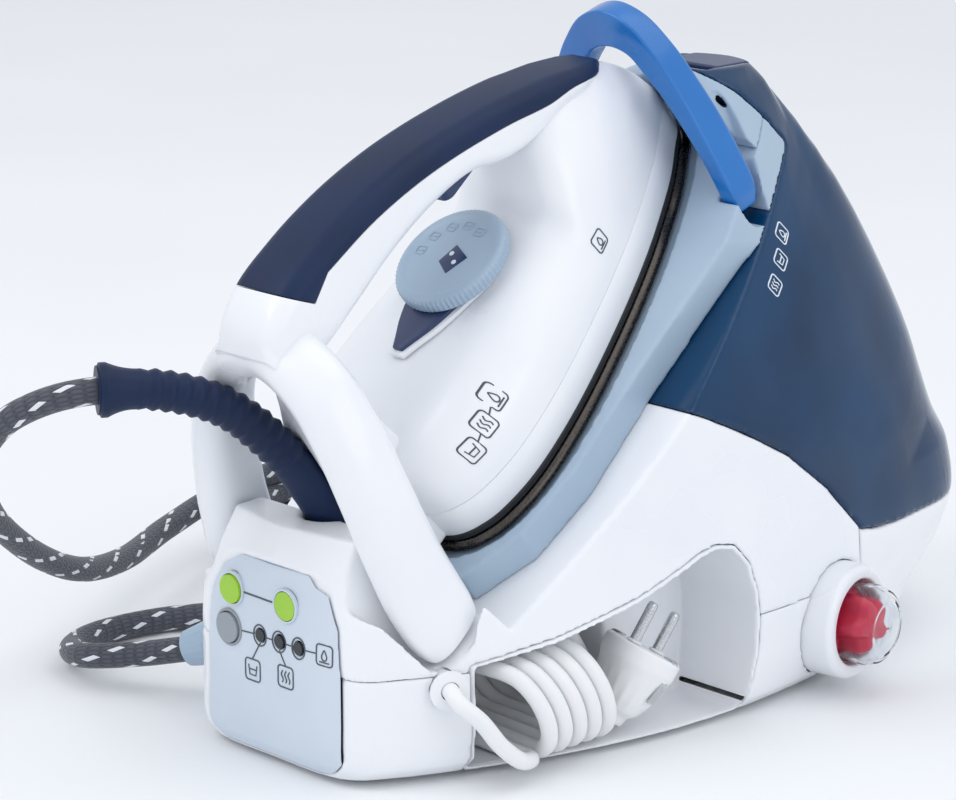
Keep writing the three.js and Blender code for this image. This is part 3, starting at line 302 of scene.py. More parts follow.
slotFinish = {"white_shell": whiteAbs, "pale_blue_plastic": paleBlueAbs, "panel_plate": panelPlate,
              "green_lens": greenAcrylic, "grey_button": greyAbs, "dark_lens": smokedLens,
              "tank_plastic": tintedSan, "navy_plastic": navyNylon, "hoop_plastic": blueAbs,
              "clear_plastic": clearPolycarbonate, "red_plastic": crimsonNylon, "rubber": siliconeBlack,
              "braided_hose": braidedHose, "white_cord": whitePvc, "pin_metal": nickelPlate,
              "boiler_steel": drawnSteel, "cast_aluminium": castAluminium, "copper": copperTube,
              "dark_plastic": glassNylon, "board": solderMask}
for entry in frame["record"]["subparts"]:
    node = nodes[entry["node"]]
    node.data.materials.clear()
    node.data.materials.append(slotFinish[entry["material_slot"]])
# the soleplate gets the dark steel, whose darkness is painted shade of the gap where the iron sits in the
# tray
nodes["soleplate"].data.materials[0] = soleSteelPaintedShade
print("materials ready")


# ---- shaping helpers

def through(rows, count):
    # A smooth run through rows of numbers, spaced evenly along their path.
    rows = np.asarray(rows, float)
    flat = rows.reshape(len(rows), -1)
    steps = np.maximum(np.linalg.norm(np.diff(flat, axis=0), axis=1), 1e-9)
    at = np.concatenate([[0], np.cumsum(steps)])
    slopes = np.diff(flat, axis=0) / steps[:, None]
    tangent = np.empty_like(flat)
    tangent[0], tangent[-1] = slopes[0], slopes[-1]
    weighted = slopes[:-1] * steps[1:, None] + slopes[1:] * steps[:-1, None]
    tangent[1:-1] = weighted / (steps[:-1] + steps[1:])[:, None]
    want = np.linspace(0, at[-1], count)
    seg = np.clip(np.searchsorted(at, want, side="right") - 1, 0, len(steps) - 1)
    h = steps[seg][:, None]
    t = (want - at[seg])[:, None] / h
    out = ((2 * t**3 - 3 * t**2 + 1) * flat[seg] + (t**3 - 2 * t**2 + t) * h * tangent[seg]
           + (-2 * t**3 + 3 * t**2) * flat[seg + 1] + (t**3 - t**2) * h * tangent[seg + 1])
    return out.reshape((count,) + rows.shape[1:])


def settle(obj):
    bpy.context.view_layer.update()
    done = bpy.data.meshes.new_from_object(obj.evaluated_get(bpy.context.evaluated_depsgraph_get()))
    obj.modifiers.clear()
    obj.data = done
    return obj


def addModifier(obj, kind, **settings):
    modifier = obj.modifiers.new(kind.lower(), kind)
    for key, value in settings.items():
        setattr(modifier, key, value)
    return modifier


def finishPiece(obj, material, body, stands=(), angle=38):
    obj.data.materials.clear()
    obj.data.materials.append(material)
    obj.data.shade_smooth()
    obj.data.set_sharp_from_angle(angle=math.radians(angle))
    if body:
        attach(obj, body)
    if stands:
        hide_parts(*stands)
    return obj


def meshObject(name, verts, faces, outward=True):
    mesh = bpy.data.meshes.new(name)
    mesh.from_pydata([tuple(v) for v in verts], [], [tuple(f) for f in faces])
    if outward:
        build = bmesh.new()
        build.from_mesh(mesh)
        bmesh.ops.recalc_face_normals(build, faces=build.faces)
        build.to_mesh(mesh)
        build.free()
    mesh.update()
    obj = bpy.data.objects.new(name, mesh)
    bpy.context.collection.objects.link(obj)
    return obj


def ringFaces(ringCount, around, capped=True, closedRun=False):
    faces = []
    for r in range(ringCount if closedRun else ringCount - 1):
        for i in range(around):
            j = (i + 1) % around
            n = (r + 1) % ringCount
            faces.append((r * around + i, r * around + j, n * around + j, n * around + i))
    if capped and not closedRun:
        faces.append(tuple(range(around - 1, -1, -1)))
        faces.append(tuple(range((ringCount - 1) * around, ringCount * around)))
    return faces


def skin(name, rings, capped=True, closedRun=False):
    rings = np.asarray(rings, float)
    return meshObject(name, rings.reshape(-1, 3), ringFaces(rings.shape[0], rings.shape[1], capped,
                                                            closedRun))


def turnedPiece(name, profile, origin, direction, segments=96, wobble=None):
    # A lathe piece: radius and height pairs in mm, stood on a point along a direction.
    axis = np.asarray(direction, float) / np.linalg.norm(direction)
    side = np.cross(axis, [0, 0, 1]) if abs(axis[2]) < 0.9 else np.cross(axis, [0, 1, 0])
    side = side / np.linalg.norm(side)
    other = np.cross(axis, side)
    angles = np.arange(segments) * 2 * math.pi / segments
    rings = []
    for radius, height in profile:
        reach = np.full(segments, float(radius))
        if wobble is not None:
            reach = wobble(reach, angles, height)
        rings.append(np.asarray(origin, float) + height * axis + reach[:, None]
                     * (np.cos(angles)[:, None] * side + np.sin(angles)[:, None] * other))
    return skin(name, place(np.array(rings)))


def roundedProfile(points, radius=0.8, steps=4):
    # Rounds the corners of an open run of radius and height pairs.
    pts = [np.array(p, float) for p in points]
    out = [pts[0]]
    for before, here, after in zip(pts, pts[1:], pts[2:]):
        a, b = before - here, after - here
        cut = min(radius, np.linalg.norm(a) * 0.45, np.linalg.norm(b) * 0.45)
        a, b = here + a / np.linalg.norm(a) * cut, here + b / np.linalg.norm(b) * cut
        for k in range(steps + 1):
            t = k / steps
            out.append((1 - t)**2 * a + 2 * t * (1 - t) * here + t**2 * b)
    return out + [pts[-1]]


def pathFrames(path):
    path = np.asarray(path, float)
    tangent = np.gradient(path, axis=0)
    tangent /= np.linalg.norm(tangent, axis=1)[:, None]
    side = np.cross(tangent[0], [0, 0, 1.0])
    side /= np.linalg.norm(side)
    sides = []
    for t in tangent:
        side = side - t * side.dot(t)
        side = side / np.linalg.norm(side)
        sides.append(side)
    sides = np.array(sides)
    return sides, np.cross(tangent, sides)


def tubeAlong(name, path, radii, around=20, uvName=None):
    # A tube in mm along a path, with its own round and lengthwise coordinates.
    path = np.asarray(path, float)
    sides, others = pathFrames(path)
    radii = np.broadcast_to(np.asarray(radii, float), (len(path),))
    angles = np.arange(around) * 2 * math.pi / around
    rings = (path[:, None] + radii[:, None, None] * (np.cos(angles)[None, :, None] * sides[:, None]
                                                     + np.sin(angles)[None, :, None] * others[:, None]))
    obj = skin(name, place(rings))
    if uvName:
        run = np.concatenate([[0], np.cumsum(np.linalg.norm(np.diff(path, axis=0), axis=1))])
        layer = obj.data.uv_layers.new(name=uvName)
        for face in obj.data.polygons:
            for loopIndex, vertex in zip(face.loop_indices, face.vertices):
                ring, spot = divmod(vertex, around)
                turn = spot / around
                if spot == 0 and any(v % around == around - 1 for v in face.vertices):
                    turn = 1.0
                layer.data[loopIndex].uv = (turn, run[ring] / (2 * math.pi * radii[0]))
    return obj


# ---- camera, floor and light

stageLook = {"floor": "#F4F6F8", "lensMm": 137.4, "cameraMm": (1102.2, -1111.1, 547.8)}
cameraData = bpy.data.cameras.new("camera")
cameraData.lens = stageLook["lensMm"]
cameraData.sensor_width = 36
camera = bpy.data.objects.new("camera", cameraData)
back = Vector((0.6948, -0.6710, 0.2588)).normalized()
rightward = Vector((0.695, 0.719, 0)).normalized()
upward = back.cross(rightward).normalized()
rightward = upward.cross(back)
camera.matrix_world = Matrix.Translation(Vector(place(stageLook["cameraMm"]))) @ Matrix(
    (rightward, upward, back)).transposed().to_4x4()
bpy.context.collection.objects.link(camera)
bpy.context.scene.camera = camera

floorMat = newMaterial("paperFloor")  # seamless paper: matt, faintly mottled
floorWhere = addNode(floorMat, "ShaderNodeTexCoord").outputs["Object"]
floorNoise = addNode(floorMat, "ShaderNodeTexNoise", {"Scale": 3.0}, {"Vector": floorWhere})
floorColour = colourRamp(floorMat, floorNoise.outputs["Fac"], [(0.3, "#F1F3F5"), (0.7, stageLook["floor"])])
surface(floorMat, {"Roughness": 0.9}, {"Base Color": floorColour})
floor = meshObject("floor", [(-9, -9, 0), (9, -9, 0), (9, 9, 0), (-9, 9, 0)], [(0, 1, 2, 3)], outward=False)
floor.data.materials.append(floorMat)

world = bpy.data.worlds.new("studio")
bpy.context.scene.world = world
world.use_nodes = True
world.node_tree.nodes["Background"].inputs["Color"].default_value = (0.93, 0.95, 1.0, 1)
world.node_tree.nodes["Background"].inputs["Strength"].default_value = 0.84
for name, where, size, power in (("keyLight", (-0.7, -1.3, 1.7), 1.1, 9),
                                 ("topLight", (0.5, 0.3, 1.9), 1.5, 6),
                                 ("sideLight", (1.7, -0.1, 0.9), 0.9, 3)):
    light = bpy.data.lights.new(name, "AREA")
    light.size = size
    light.energy = power
    lamp = bpy.data.objects.new(name, light)
    lamp.location = where
    lamp.rotation_euler = (Vector((0, 0, 0.12)) - Vector(where)).to_track_quat("-Z", "Y").to_euler()
    bpy.context.collection.objects.link(lamp)
bpy.context.scene.view_settings.view_transform = "Standard"
print("camera and light ready")


# ---- the steam hose and its strain relief

hose = {"diameterMm": 11.5, "coil": (-182.0, 62.0), "coilRadius": 65.0, "turns": 2.5, "stepMm": 4.0}
sleeveRun = [(0, -128, 98), (-2, -141, 116), (-7, -158, 138), (-15, -178, 156), (-26, -201, 165),
             (-36, -220, 167)]
hoseOut = [(-47, -236, 165), (-66, -247, 155), (-92, -246, 132), (-118, -224, 100), (-142, -186, 68),
           (-168, -138, 42), (-196, -90, 30), (-224, -40, 29), (-242, 12, 32.5), (-247, 50, 34.2)]
hoseBack = [(-117.2, 44, 6.1), (-121, 10, 6), (-134, -24, 6), (-154, -58, 6), (-171, -94, 6),
            (-173, -126, 6.5), (-158, -151, 9), (-134, -160, 14), (-110, -148, 18), (-89.6, -139.7, 23.3)]
coilSpots = int(hose["turns"] * 24)
coilPath = []
for k in range(1, coilSpots):
    angle = math.pi - k / coilSpots * hose["turns"] * 2 * math.pi
    coilPath.append((hose["coil"][0] + hose["coilRadius"] * math.cos(angle),
                     hose["coil"][1] + hose["coilRadius"] * math.sin(angle),
                     34.5 - (34.5 - 5.75) * k / coilSpots))
hosePoints = np.array(sleeveRun + hoseOut + coilPath + hoseBack, float)
hoseLength = np.linalg.norm(np.diff(hosePoints, axis=0), axis=1).sum()
hosePath = through(hosePoints, int(hoseLength / hose["stepMm"]))
hoseObj = tubeAlong("steamHose", hosePath, hose["diameterMm"] / 2, 24, "braidUv")
finishPiece(hoseObj, braidedHose, None, ("steam_hose_front", "steam_hose_return",
                                                         "steam_hose_coil"))
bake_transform(hoseObj)

relief = {"ribPitch": 6.0, "ribDeep": 0.7, "heelRadius": 10.6, "radius": 8.4, "flare": 11.4}
sleevePath = through(np.array(sleeveRun + [(-39, -225, 167)], float), 200)
run = np.linspace(0, 1, 200)
sleeveLong = np.linalg.norm(np.diff(sleevePath, axis=0), axis=1).sum()
ribAngle = run * sleeveLong / relief["ribPitch"] * 2 * math.pi
ribs = np.where((run > 0.3) & (run < 0.86), relief["ribDeep"] * np.sign(np.sin(ribAngle)), 0)
ribs = np.convolve(np.pad(ribs, 2, mode="edge"), np.ones(5) / 5, mode="valid")
heelShare = np.clip(1 - run / 0.35, 0, 1) ** 1.5
bodyRadius = relief["radius"] + (relief["heelRadius"] - relief["radius"]) * heelShare
bodyRadius = bodyRadius + (relief["flare"] - relief["radius"]) * np.clip((run - 0.88) / 0.09, 0, 1) ** 2
bodyRadius = np.where(run > 0.99, bodyRadius - 1.2, bodyRadius)
sleeve = tubeAlong("strainRelief", sleevePath, bodyRadius + ribs, 40)
finishPiece(sleeve, navySoftTouch, "iron", ("hose_sleeve",), 50)

# ---- the mains cord and its plug

cordLook = {"diameterMm": 7.4, "wideTurns": 5, "narrowTurns": 3, "widePitch": 8.7, "narrowPitch": 7.5,
            "lean": 0.36, "front": -105.2, "lowZ": 8.8, "topZ": 45.7, "rise": 0.9, "hubLeft": 30.3,
            "hubWide": 77.7, "hubNarrow": 41.7, "bend": 16.3}


def cordTurns():
    c = cordLook
    points, y = [], c["front"]
    for turn in range(c["wideTurns"] + c["narrowTurns"]):
        wide = turn < c["wideTurns"]
        hub = c["hubWide"] if wide else c["hubNarrow"]
        pitch = c["widePitch"] if wide else c["narrowPitch"]
        top = c["topZ"] + c["rise"] * turn
        middle, half = (top + c["lowZ"]) / 2, (top - c["lowZ"]) / 2
        loop = [(x, c["lowZ"]) for x in np.linspace(hub, c["hubLeft"], 7)[:-1]]
        loop += [(c["hubLeft"] - c["bend"] * math.cos(a), middle + half * math.sin(a))
                 for a in np.linspace(-math.pi / 2, math.pi / 2, 9)[:-1]]
        loop += [(x, top) for x in np.linspace(c["hubLeft"], hub, 7)[:-1]]
        loop += [(hub + c["bend"] * math.cos(a), middle + half * math.sin(a))
                 for a in np.linspace(math.pi / 2, -math.pi / 2, 9)[:-1]]
        for k, (x, z) in enumerate(loop):
            points.append((x, y + pitch * k / len(loop) - c["lean"] * (z - middle), z))
        y += pitch
    return points


cordLead = [(66, -129.8, 43), (73.8, -133.2, 43), (80, -134.5, 40), (86, -129, 33), (90.5, -120, 20),
            (92, -110.5, 12), (88, -101, 9.2)]
cordTail = [(59.5, -38.2, 22.5), (62.5, -40.6, 16.2), (68, -42.4, 13.4), (74, -43.3, 13.0),
            (79.2, -43.6, 13.6)]
cordPoints = np.array(cordLead + cordTurns()[1:-4] + cordTail, float)
cordLong = np.linalg.norm(np.diff(cordPoints, axis=0), axis=1).sum()
cordPath = through(cordPoints, int(cordLong / 2.5))
cordObj = tubeAlong("mainsCord", cordPath, cordLook["diameterMm"] / 2, 16)
finishPiece(cordObj, whitePvc, "root", ("power_cord_lead", "power_cord_coil",
                                                      "power_cord_tail"))

plug = {"axis": (0.156, 0.49, 0.85), "face": (84, -28.5, 40.2), "long": 35, "pinSpacing": 19, "pinLong": 19,
        "pinRadius": 2.4}
plugAxis = np.array(plug["axis"]) / np.linalg.norm(plug["axis"])
plugFace = np.array(plug["face"])
plugBack = plugFace - plugAxis * plug["long"]
spread = np.array((-0.11, 0.93, -0.33))
spread = spread - plugAxis * spread.dot(plugAxis)
spread = spread / np.linalg.norm(spread)
across = np.cross(plugAxis, spread)


def plugShape(reach, angles, height):
    flat = 1 - 0.13 * np.clip((height - 8) / 14, 0, 1) * np.abs(np.sin(angles)) ** 3
    grip = 1 - 0.05 * np.clip(1 - abs(height - 14) / 9, 0, 1) * (0.5 + 0.5 * np.cos(angles * 18))
    return reach * flat * grip


plugProfile = roundedProfile([(0.4, 0), (6.6, 0), (7.4, 4), (10.4, 6.5), (13.6, 12), (17.2, 24),
                              (18.6, 27.5),
                              (18.8, plug["long"] - 1), (17.6, plug["long"]), (0.4, plug["long"])], 1.2)
plugBody = turnedPiece("plugBody", plugProfile, plugBack, plugAxis, 96, plugShape)
finishPiece(plugBody, whitePvc, "root", ("plug_body",))
plugPieces = [plugBody]
for label, side in (("A", -0.5), ("B", 0.5)):
    foot = plugFace + spread * side * plug["pinSpacing"] + plugAxis * 0.3
    pinProfile = [(0.1, 0), (2.4, 0), (2.4, 17.4), (2.1, 18.4), (1.4, 19), (0.1, 19)]
    pin = turnedPiece("plugPin" + label, pinProfile, foot, plugAxis, 32)
    finishPiece(pin, nickelPlate, "root", ("plug_pin_" + label.lower(),))
    collar = turnedPiece("pinCollar" + label, [(2.6, -0.2), (3.4, 0), (3.4, 0.8), (2.6, 1.1)], foot,
                         plugAxis, 32)
    finishPiece(collar, whitePvc, "root")
    plugPieces += [pin, collar]
for side in (-1, 1):  # earth strips on both flanks
    clipShape = ((15.2, -20), (16.9, -14), (17.3, -6), (17.1, 0.4), (14.5, 0.8), (12.5, 0.6))
    strip = [plugFace + across * side * r + plugAxis * h for r, h in clipShape]
    strip = through(np.array(strip), 24)
    ring = np.array([[-2.3, -0.35], [2.3, -0.35], [2.3, 0.35], [-2.3, 0.35]])
    tangent = np.gradient(strip, axis=0)
    tangent /= np.linalg.norm(tangent, axis=1)[:, None]
    outwards = np.cross(tangent, spread)
    rings = strip[:, None] + ring[None, :, 0:1] * spread[None, None] + ring[None, :, 1:2] * outwards[:, None]
    clip = skin("earthClip" + ("Left" if side < 0 else "Right"), place(rings))
    finishPiece(clip, nickelPlate, "root")


# ---- the housing's true surface, for the moulded parts

housingSections = [(3, [(0, -166), (38, -164), (54, -146), (70, -110), (83, -72), (92, -30), (95, 10),
                        (93, 50), (87, 88), (74, 122), (56, 150), (30, 170), (0, 177)]),
                   (10, [(0, -168), (43, -166), (60, -147), (76, -110), (89, -72), (98, -30), (101, 10),
                         (99, 52), (93, 94), (81, 131), (63, 162), (36, 187), (0, 196)]),
                   (30, [(0, -168), (45, -165), (62, -145), (78, -110), (92, -72), (101, -30), (105, 12),
                         (103, 55), (97, 97), (87, 136), (70, 170), (41, 198), (0, 208)]),
                   (49, [(0, -168), (45, -165), (62, -145), (78, -110), (92, -72), (102, -30), (106, 15),
                         (104, 57), (98, 99), (90, 140), (76, 180), (44, 208), (0, 217)]),
                   (69, [(0, -168), (45, -164), (61, -144), (76, -110), (90, -70), (100, -30), (104, 15),
                         (102, 57), (97, 99), (91, 142), (79, 184), (46, 212), (0, 221)]),
                   (88, [(0, -166), (42, -160), (57, -141), (73, -108), (88, -69), (98, -29), (101, 15),
                         (99, 56), (95, 97), (89, 140), (77, 182), (45, 209), (0, 217)]),
                   (105, [(0, -159), (38, -152), (54, -136), (71, -105), (86, -68), (96, -28), (99, 15),
                          (97, 55), (93, 96), (87, 137), (73, 175), (43, 201), (0, 209)]),
                   (146, [(0, -130), (40, -122), (55, -108), (69, -85), (82, -58), (90, -28), (92, 10),
                          (90, 46), (87, 84), (80, 122), (68, 160), (41, 183), (0, 190)]),
                   (183, [(0, -90), (30, -85), (48, -70), (61, -50), (71, -28), (77, 0), (79, 25), (78, 52),
                          (76, 80), (71, 112), (60, 145), (36, 165), (0, 171)]),
                   (217, [(0, -40), (22, -38), (38, -28), (49, -12), (57, 8), (61, 28), (62, 46), (62, 65),
                          (59, 86), (54, 108), (47, 133), (28, 146), (0, 151)]),
                   (245, [(0, 15), (14, 17), (26, 23), (35, 32), (41, 42), (45, 54), (47, 68), (47, 81),
                          (44, 95), (39, 108), (33, 120), (17, 128), (0, 131)]),
                   (262, [(0, 46), (9, 47), (18, 51), (24, 56), (29, 62), (32, 70), (34, 79), (33, 88),
                          (31, 97), (28, 106), (20, 112), (10, 115), (0, 117)]),
                   (270, [(0, 66), (5, 66.5), (10, 68.5), (14, 71), (17, 75), (20, 81), (22, 88), (22, 96),
                          (20, 102), (17, 106), (12, 109), (6, 111), (0, 112)])]


def evenSpline(points, count):
    # Uniform Catmull-Rom, as the CAD outline uses.
    p = np.asarray(points, float)
    t = np.linspace(0, len(p) - 1, count + 1)
    i = np.minimum(t.astype(int), len(p) - 2)
    w = (t - i)[:, None]
    a, b, c, d = p[np.maximum(i - 1, 0)], p[i], p[i + 1], p[np.minimum(i + 2, len(p) - 1)]
    bend = w**2 * (a - 2.5 * b + 2 * c - 0.5 * d)
    return b + 0.5 * w * (c - a) + bend + w**3 * (1.5 * b - 1.5 * c + 0.5 * d - 0.5 * a)


levels = np.array([row[0] for row in housingSections], float)
sections = np.array([row[1] for row in housingSections], float)
heightGrid = np.arange(3, 270.5, 1.0)
angleGrid = np.radians(np.linspace(-90, 90, 361))


def levelBetween(values, smooth):
    # Sections at every height, straight between them or eased through them without overshoot.
    out = []
    gaps = np.diff(levels)
    slope = np.diff(values, axis=0) / gaps[:, None, None]
    ease = np.zeros_like(values)
    same = slope[:-1] * slope[1:] > 0
    ease[1:-1] = np.where(same, 2 * slope[:-1] * slope[1:] / np.where(same, slope[:-1] + slope[1:], 1), 0)
    ease[0], ease[-1] = slope[0], slope[-1]
    for z in heightGrid:
        k = int(np.clip(np.searchsorted(levels, z, side="right") - 1, 0, len(gaps) - 1))
        t = (z - levels[k]) / gaps[k]
        if not smooth:
            out.append(values[k] + (values[k + 1] - values[k]) * t)
            continue
        h = gaps[k]
        out.append((2 * t**3 - 3 * t**2 + 1) * values[k] + (t**3 - 2 * t**2 + t) * h * ease[k]
                   + (-2 * t**3 + 3 * t**2) * values[k + 1] + (t**3 - t**2) * h * ease[k + 1])
    return np.array(out)


def polarTable(outlines, middles):
    table = []
    for outline, middle in zip(outlines, middles):
        dense = np.concatenate([np.linspace(a, b, 8, endpoint=False) for a,
                                b in zip(outline[:-1], outline[1:])] + [outline[-1:]])
        angle = np.arctan2(dense[:, 1] - middle, np.maximum(dense[:, 0], 0))
        order = np.argsort(angle)
        table.append(np.interp(angleGrid, angle[order], np.hypot(dense[:, 0], dense[:, 1] - middle)[order]))
    return np.array(table)


coarse = levelBetween(np.array([evenSpline(s, 16) for s in sections]), False)
fine = np.array([evenSpline(s, 96) for s in levelBetween(sections, True)])
middleLine = (coarse[:, 0, 1] + coarse[:, -1, 1]) / 2
coarseReach = polarTable(coarse, middleLine)
fineReach = polarTable(fine, middleLine)


def easeToHousing(obj):
    # Moves the facets of the CAD housing onto the smooth surface that they stand for.
    count = len(obj.data.vertices)
    flat = np.empty(count * 3)
    obj.data.vertices.foreach_get("co", flat)
    mm = flat.reshape(-1, 3) * 1000 - drawingShift
    row = np.clip(mm[:, 2], 3, 269.99) - 3
    low = row.astype(int)
    low = np.minimum(low, len(heightGrid) - 2)
    part = row - low
    middle = middleLine[low] * (1 - part) + middleLine[low + 1] * part
    offset = mm[:, 1] - middle
    angle = np.arctan2(offset, np.abs(mm[:, 0]))
    column = (angle - angleGrid[0]) / (angleGrid[1] - angleGrid[0])
    left = np.clip(column.astype(int), 0, len(angleGrid) - 2)
    share = column - left

    def look(table):
        a = table[low, left] * (1 - share) + table[low, left + 1] * share
        b = table[low + 1, left] * (1 - share) + table[low + 1, left + 1] * share
        return a * (1 - part) + b * part

    reach = np.hypot(mm[:, 0], offset)
    outer, target = look(coarseReach), look(fineReach)
    weight = np.clip(1 - (outer - reach) / 14, 0, 1)
    scale = 1 + (target - outer) * weight / np.maximum(reach, 1)
    mm[:, 0] *= scale
    mm[:, 1] = middle + offset * scale
    obj.data.vertices.foreach_set("co", ((mm + drawingShift) / 1000).ravel())
    obj.data.update()


def mouldedFrom(nodeName, name, material, body, voxelMm=1.2, soften=3, keep=0.4, onHousing=True):
    # A moulded part with softly rounded edges, made from its CAD solid.
    obj = bpy.data.objects.new(name, nodes[nodeName].data.copy())
    bpy.context.collection.objects.link(obj)
    addModifier(obj, "WELD", merge_threshold=0.00001)
    addModifier(obj, "REMESH", mode="VOXEL", voxel_size=voxelMm / 1000, use_smooth_shade=True)
    settle(obj)
    if onHousing:
        easeToHousing(obj)
    addModifier(obj, "SMOOTH", factor=0.5, iterations=soften)
    if keep < 1:
        addModifier(obj, "DECIMATE", ratio=keep)
    settle(obj)
    return finishPiece(obj, material, body, (nodeName,), 60)


mouldedFrom("base_lower_shell", "lowerShell", whiteAbs, "root", 1.3, 3, 0.35)
mouldedFrom("base_upper_shell", "upperShell", whiteAbs, "root", 1.1, 4, 0.35)
mouldedFrom("base_rear_cover", "rearCover", whiteAbs, "root", 1.3, 3, 0.35)
mouldedFrom("cord_bay_liner", "bayLiner", whiteAbs, "root", 1.0, 3, 0.35)
panelPiece = mouldedFrom("control_panel", "panelPlate", panelPlate, "root", 0.8, 2, 0.3)
mouldedFrom("iron_rest", "restTray", paleBlueAbs, "root", 1.1, 3, 0.35)
mouldedFrom("rest_cowl", "restCowl", paleBlueAbs, "root", 0.9, 3, 0.4)
tankPiece = mouldedFrom("water_tank", "waterTank", tintedSan, "tank", 1.3, 3, 0.35)
mouldedFrom("filler_flap", "fillerFlap", navyNylon, "flap", 0.7, 3, 0.5)
print("housing ready")


# ---- the iron

soleHalf = [(0, 0), (6, -6), (11, -15), (20, -31), (28, -50), (36, -72), (43, -96), (49, -121), (54, -146),
            (57, -168), (58, -189), (56, -206), (51, -220), (40, -231), (20, -235), (0, -236)]
ironShape = {"skirtLow": 8.3, "skirtHigh": 24.0, "bodyLow": 24.3}
bodyTop = [(-1.5, 30), (-4, 38), (-9, 52), (-16, 64), (-24, 73), (-40, 81), (-60, 87), (-76, 84), (-90, 73),
           (-101, 62), (-112, 60), (-140, 59), (-170, 58), (-200, 57), (-218, 54), (-228, 50), (-233, 46)]
bodySection = [(1, 0), (0.985, 0.26), (0.93, 0.5), (0.8, 0.74), (0.6, 0.91), (0.3, 0.985), (0, 1)]
soleRight = evenSpline(soleHalf, 150)


def soleWidthAt(u):
    line = soleRight[soleRight[:, 1] <= 0]
    return np.interp(-u, -line[:, 1], line[:, 0])


def soleRing(inset, n):
    # The soleplate's outline drawn in by an inset, at a height over the soleplate.
    along = np.gradient(soleRight, axis=0)
    along /= np.linalg.norm(along, axis=1)[:, None]
    right = soleRight + inset * np.stack([along[:, 1], -along[:, 0]], axis=1)
    right[0], right[-1] = (0, -inset * 1.6), (0, right[-1, 1])
    right[:, 0] = np.maximum(right[:, 0], 0)
    whole = np.concatenate([right, right[1:-1][::-1] * (-1, 1)])
    return ironPlace(np.concatenate([whole, np.full((len(whole), 1), n)], axis=1))


skirt = skin("ironSkirt", [soleRing(i, n) for i, n in ((6, 8.3), (1.4, 8.3), (0.7, 8.8), (0.4, 10),
                                                       (0.35, 17), (0.5, 23), (0.9, 23.7), (1.6, 24),
                                                       (8, 24))])
finishPiece(skirt, whiteAbs, "iron", ("iron_skirt",), 35)
shieldPiece = skin("heatSeal", [soleRing(i, n) for i, n in ((9, 4.3), (1.6, 4.3), (0.9, 5.2), (0.9, 7.4),
                                                            (1.5, 8.2), (9, 8.2))])
finishPiece(shieldPiece, siliconeBlack, "iron", ("heat_shield",), 35)
# dark steel of the soleplate: painted shade of the gap where the iron sits in the tray
solePiece = skin("solePlate", [soleRing(i, n) for i, n in ((3, 0), (-0.9, 0.1), (-1.6, 0.7), (-1.4, 1.5),
                                                           (0.2, 3.6), (0.9, 4))])
finishPiece(solePiece, soleSteelPaintedShade, "iron", ("soleplate",), 35)

rows = through(np.array(bodyTop, float), 110)
share = through(np.array(bodySection, float), 28)
bodyRings = []
for u, top in rows:
    width = max(soleWidthAt(u) - 0.7, 0.8)
    level = ironShape["bodyLow"] + share[:, 1] * (top - ironShape["bodyLow"])
    right = np.stack([share[:, 0] * width, np.full(28, u), level], axis=1)
    bodyRings.append(np.concatenate([right, right[:-1][::-1] * (-1, 1, 1)]))
bodyPiece = skin("ironBody", ironPlace(np.array(bodyRings)))
finishPiece(bodyPiece, whiteAbs, "iron", ("iron_body",), 35)

handle = {"halfWidth": 19.0, "round": 9.0}
handleRows = [(-23, 75, 71), (-40, 87, 73), (-60, 99.5, 78), (-80, 110, 82), (-94, 116.5, 88),
              (-108, 122.5, 97.5), (-130, 130.5, 104), (-160, 138, 107), (-190, 141.5, 106),
              (-214, 141, 105.5), (-230, 135, 110), (-238, 127, 118)]


def handleLoft(name):
    rings = []
    for u, top, finger in through(np.array(handleRows, float), 120):
        half = handle["halfWidth"] * np.interp(-u, [23, 28, 40, 60], [0.45, 0.68, 0.9, 1.0])
        high = (top - finger) / 2
        corner = min(handle["round"], high * 0.95)
        ring = []
        for sx, sn, start in ((1, -1, -90), (1, 1, 0), (-1, 1, 90), (-1, -1, 180)):
            for k in range(8):
                a = math.radians(start + k * 90 / 7)
                ring.append((sx * (half - corner) + corner * math.cos(a), u,
                             (top + finger) / 2 + sn * (high - corner) + corner * math.sin(a)))
        rings.append(ring)
    return skin(name, ironPlace(np.array(rings)))


def prism(name, outline, half):
    # A cutter given by a side view in the iron's own axes.
    rings = [[(x, u, n) for u, n in outline] for x in (-half, half)]
    return skin(name, ironPlace(np.array(rings, float)))


def cutWith(obj, cutter, operation):
    addModifier(obj, "BOOLEAN", operation=operation, object=cutter, solver="EXACT")
    settle(obj)


def capOutline(lift):
    line = [(u - 3, n - (5 if i < 2 else 9) + lift) for i, (u, n, _) in enumerate(handleRows[:9])]
    smooth = [tuple(p) for p in through(np.array(line, float), 40)]
    return [(-12, 62 + lift)] + smooth + [(-206 + lift, 128 + lift), (-226 + lift, 160), (-226, 220),
                                          (-12, 220)]


handleCap = handleLoft("handleCap")
capCutter = prism("capCutter", capOutline(0), 60)
cutWith(handleCap, capCutter, "INTERSECT")
handleShell = handleLoft("handleShell")
shellCutter = prism("shellCutter", capOutline(-0.35), 60)
cutWith(handleShell, shellCutter, "DIFFERENCE")
triggerCutter = prism("triggerCutter", [(-124.6, 91.4), (-89.4, 91.4), (-89.4, 108.6), (-124.6, 108.6)],
                      9.1)
cutWith(handleCap, triggerCutter, "DIFFERENCE")
cutWith(handleShell, triggerCutter, "DIFFERENCE")
for cutter in (capCutter, shellCutter, triggerCutter):
    bpy.data.objects.remove(cutter)
for piece in (handleCap, handleShell):
    addModifier(piece, "BEVEL", width=0.0006, segments=2, limit_method="ANGLE",
                angle_limit=math.radians(40))
    settle(piece)
finishPiece(handleCap, navySoftTouch, "iron", ("handle_cap",), 35)
finishPiece(handleShell, whiteAbs, "iron", ("handle_shell",), 35)

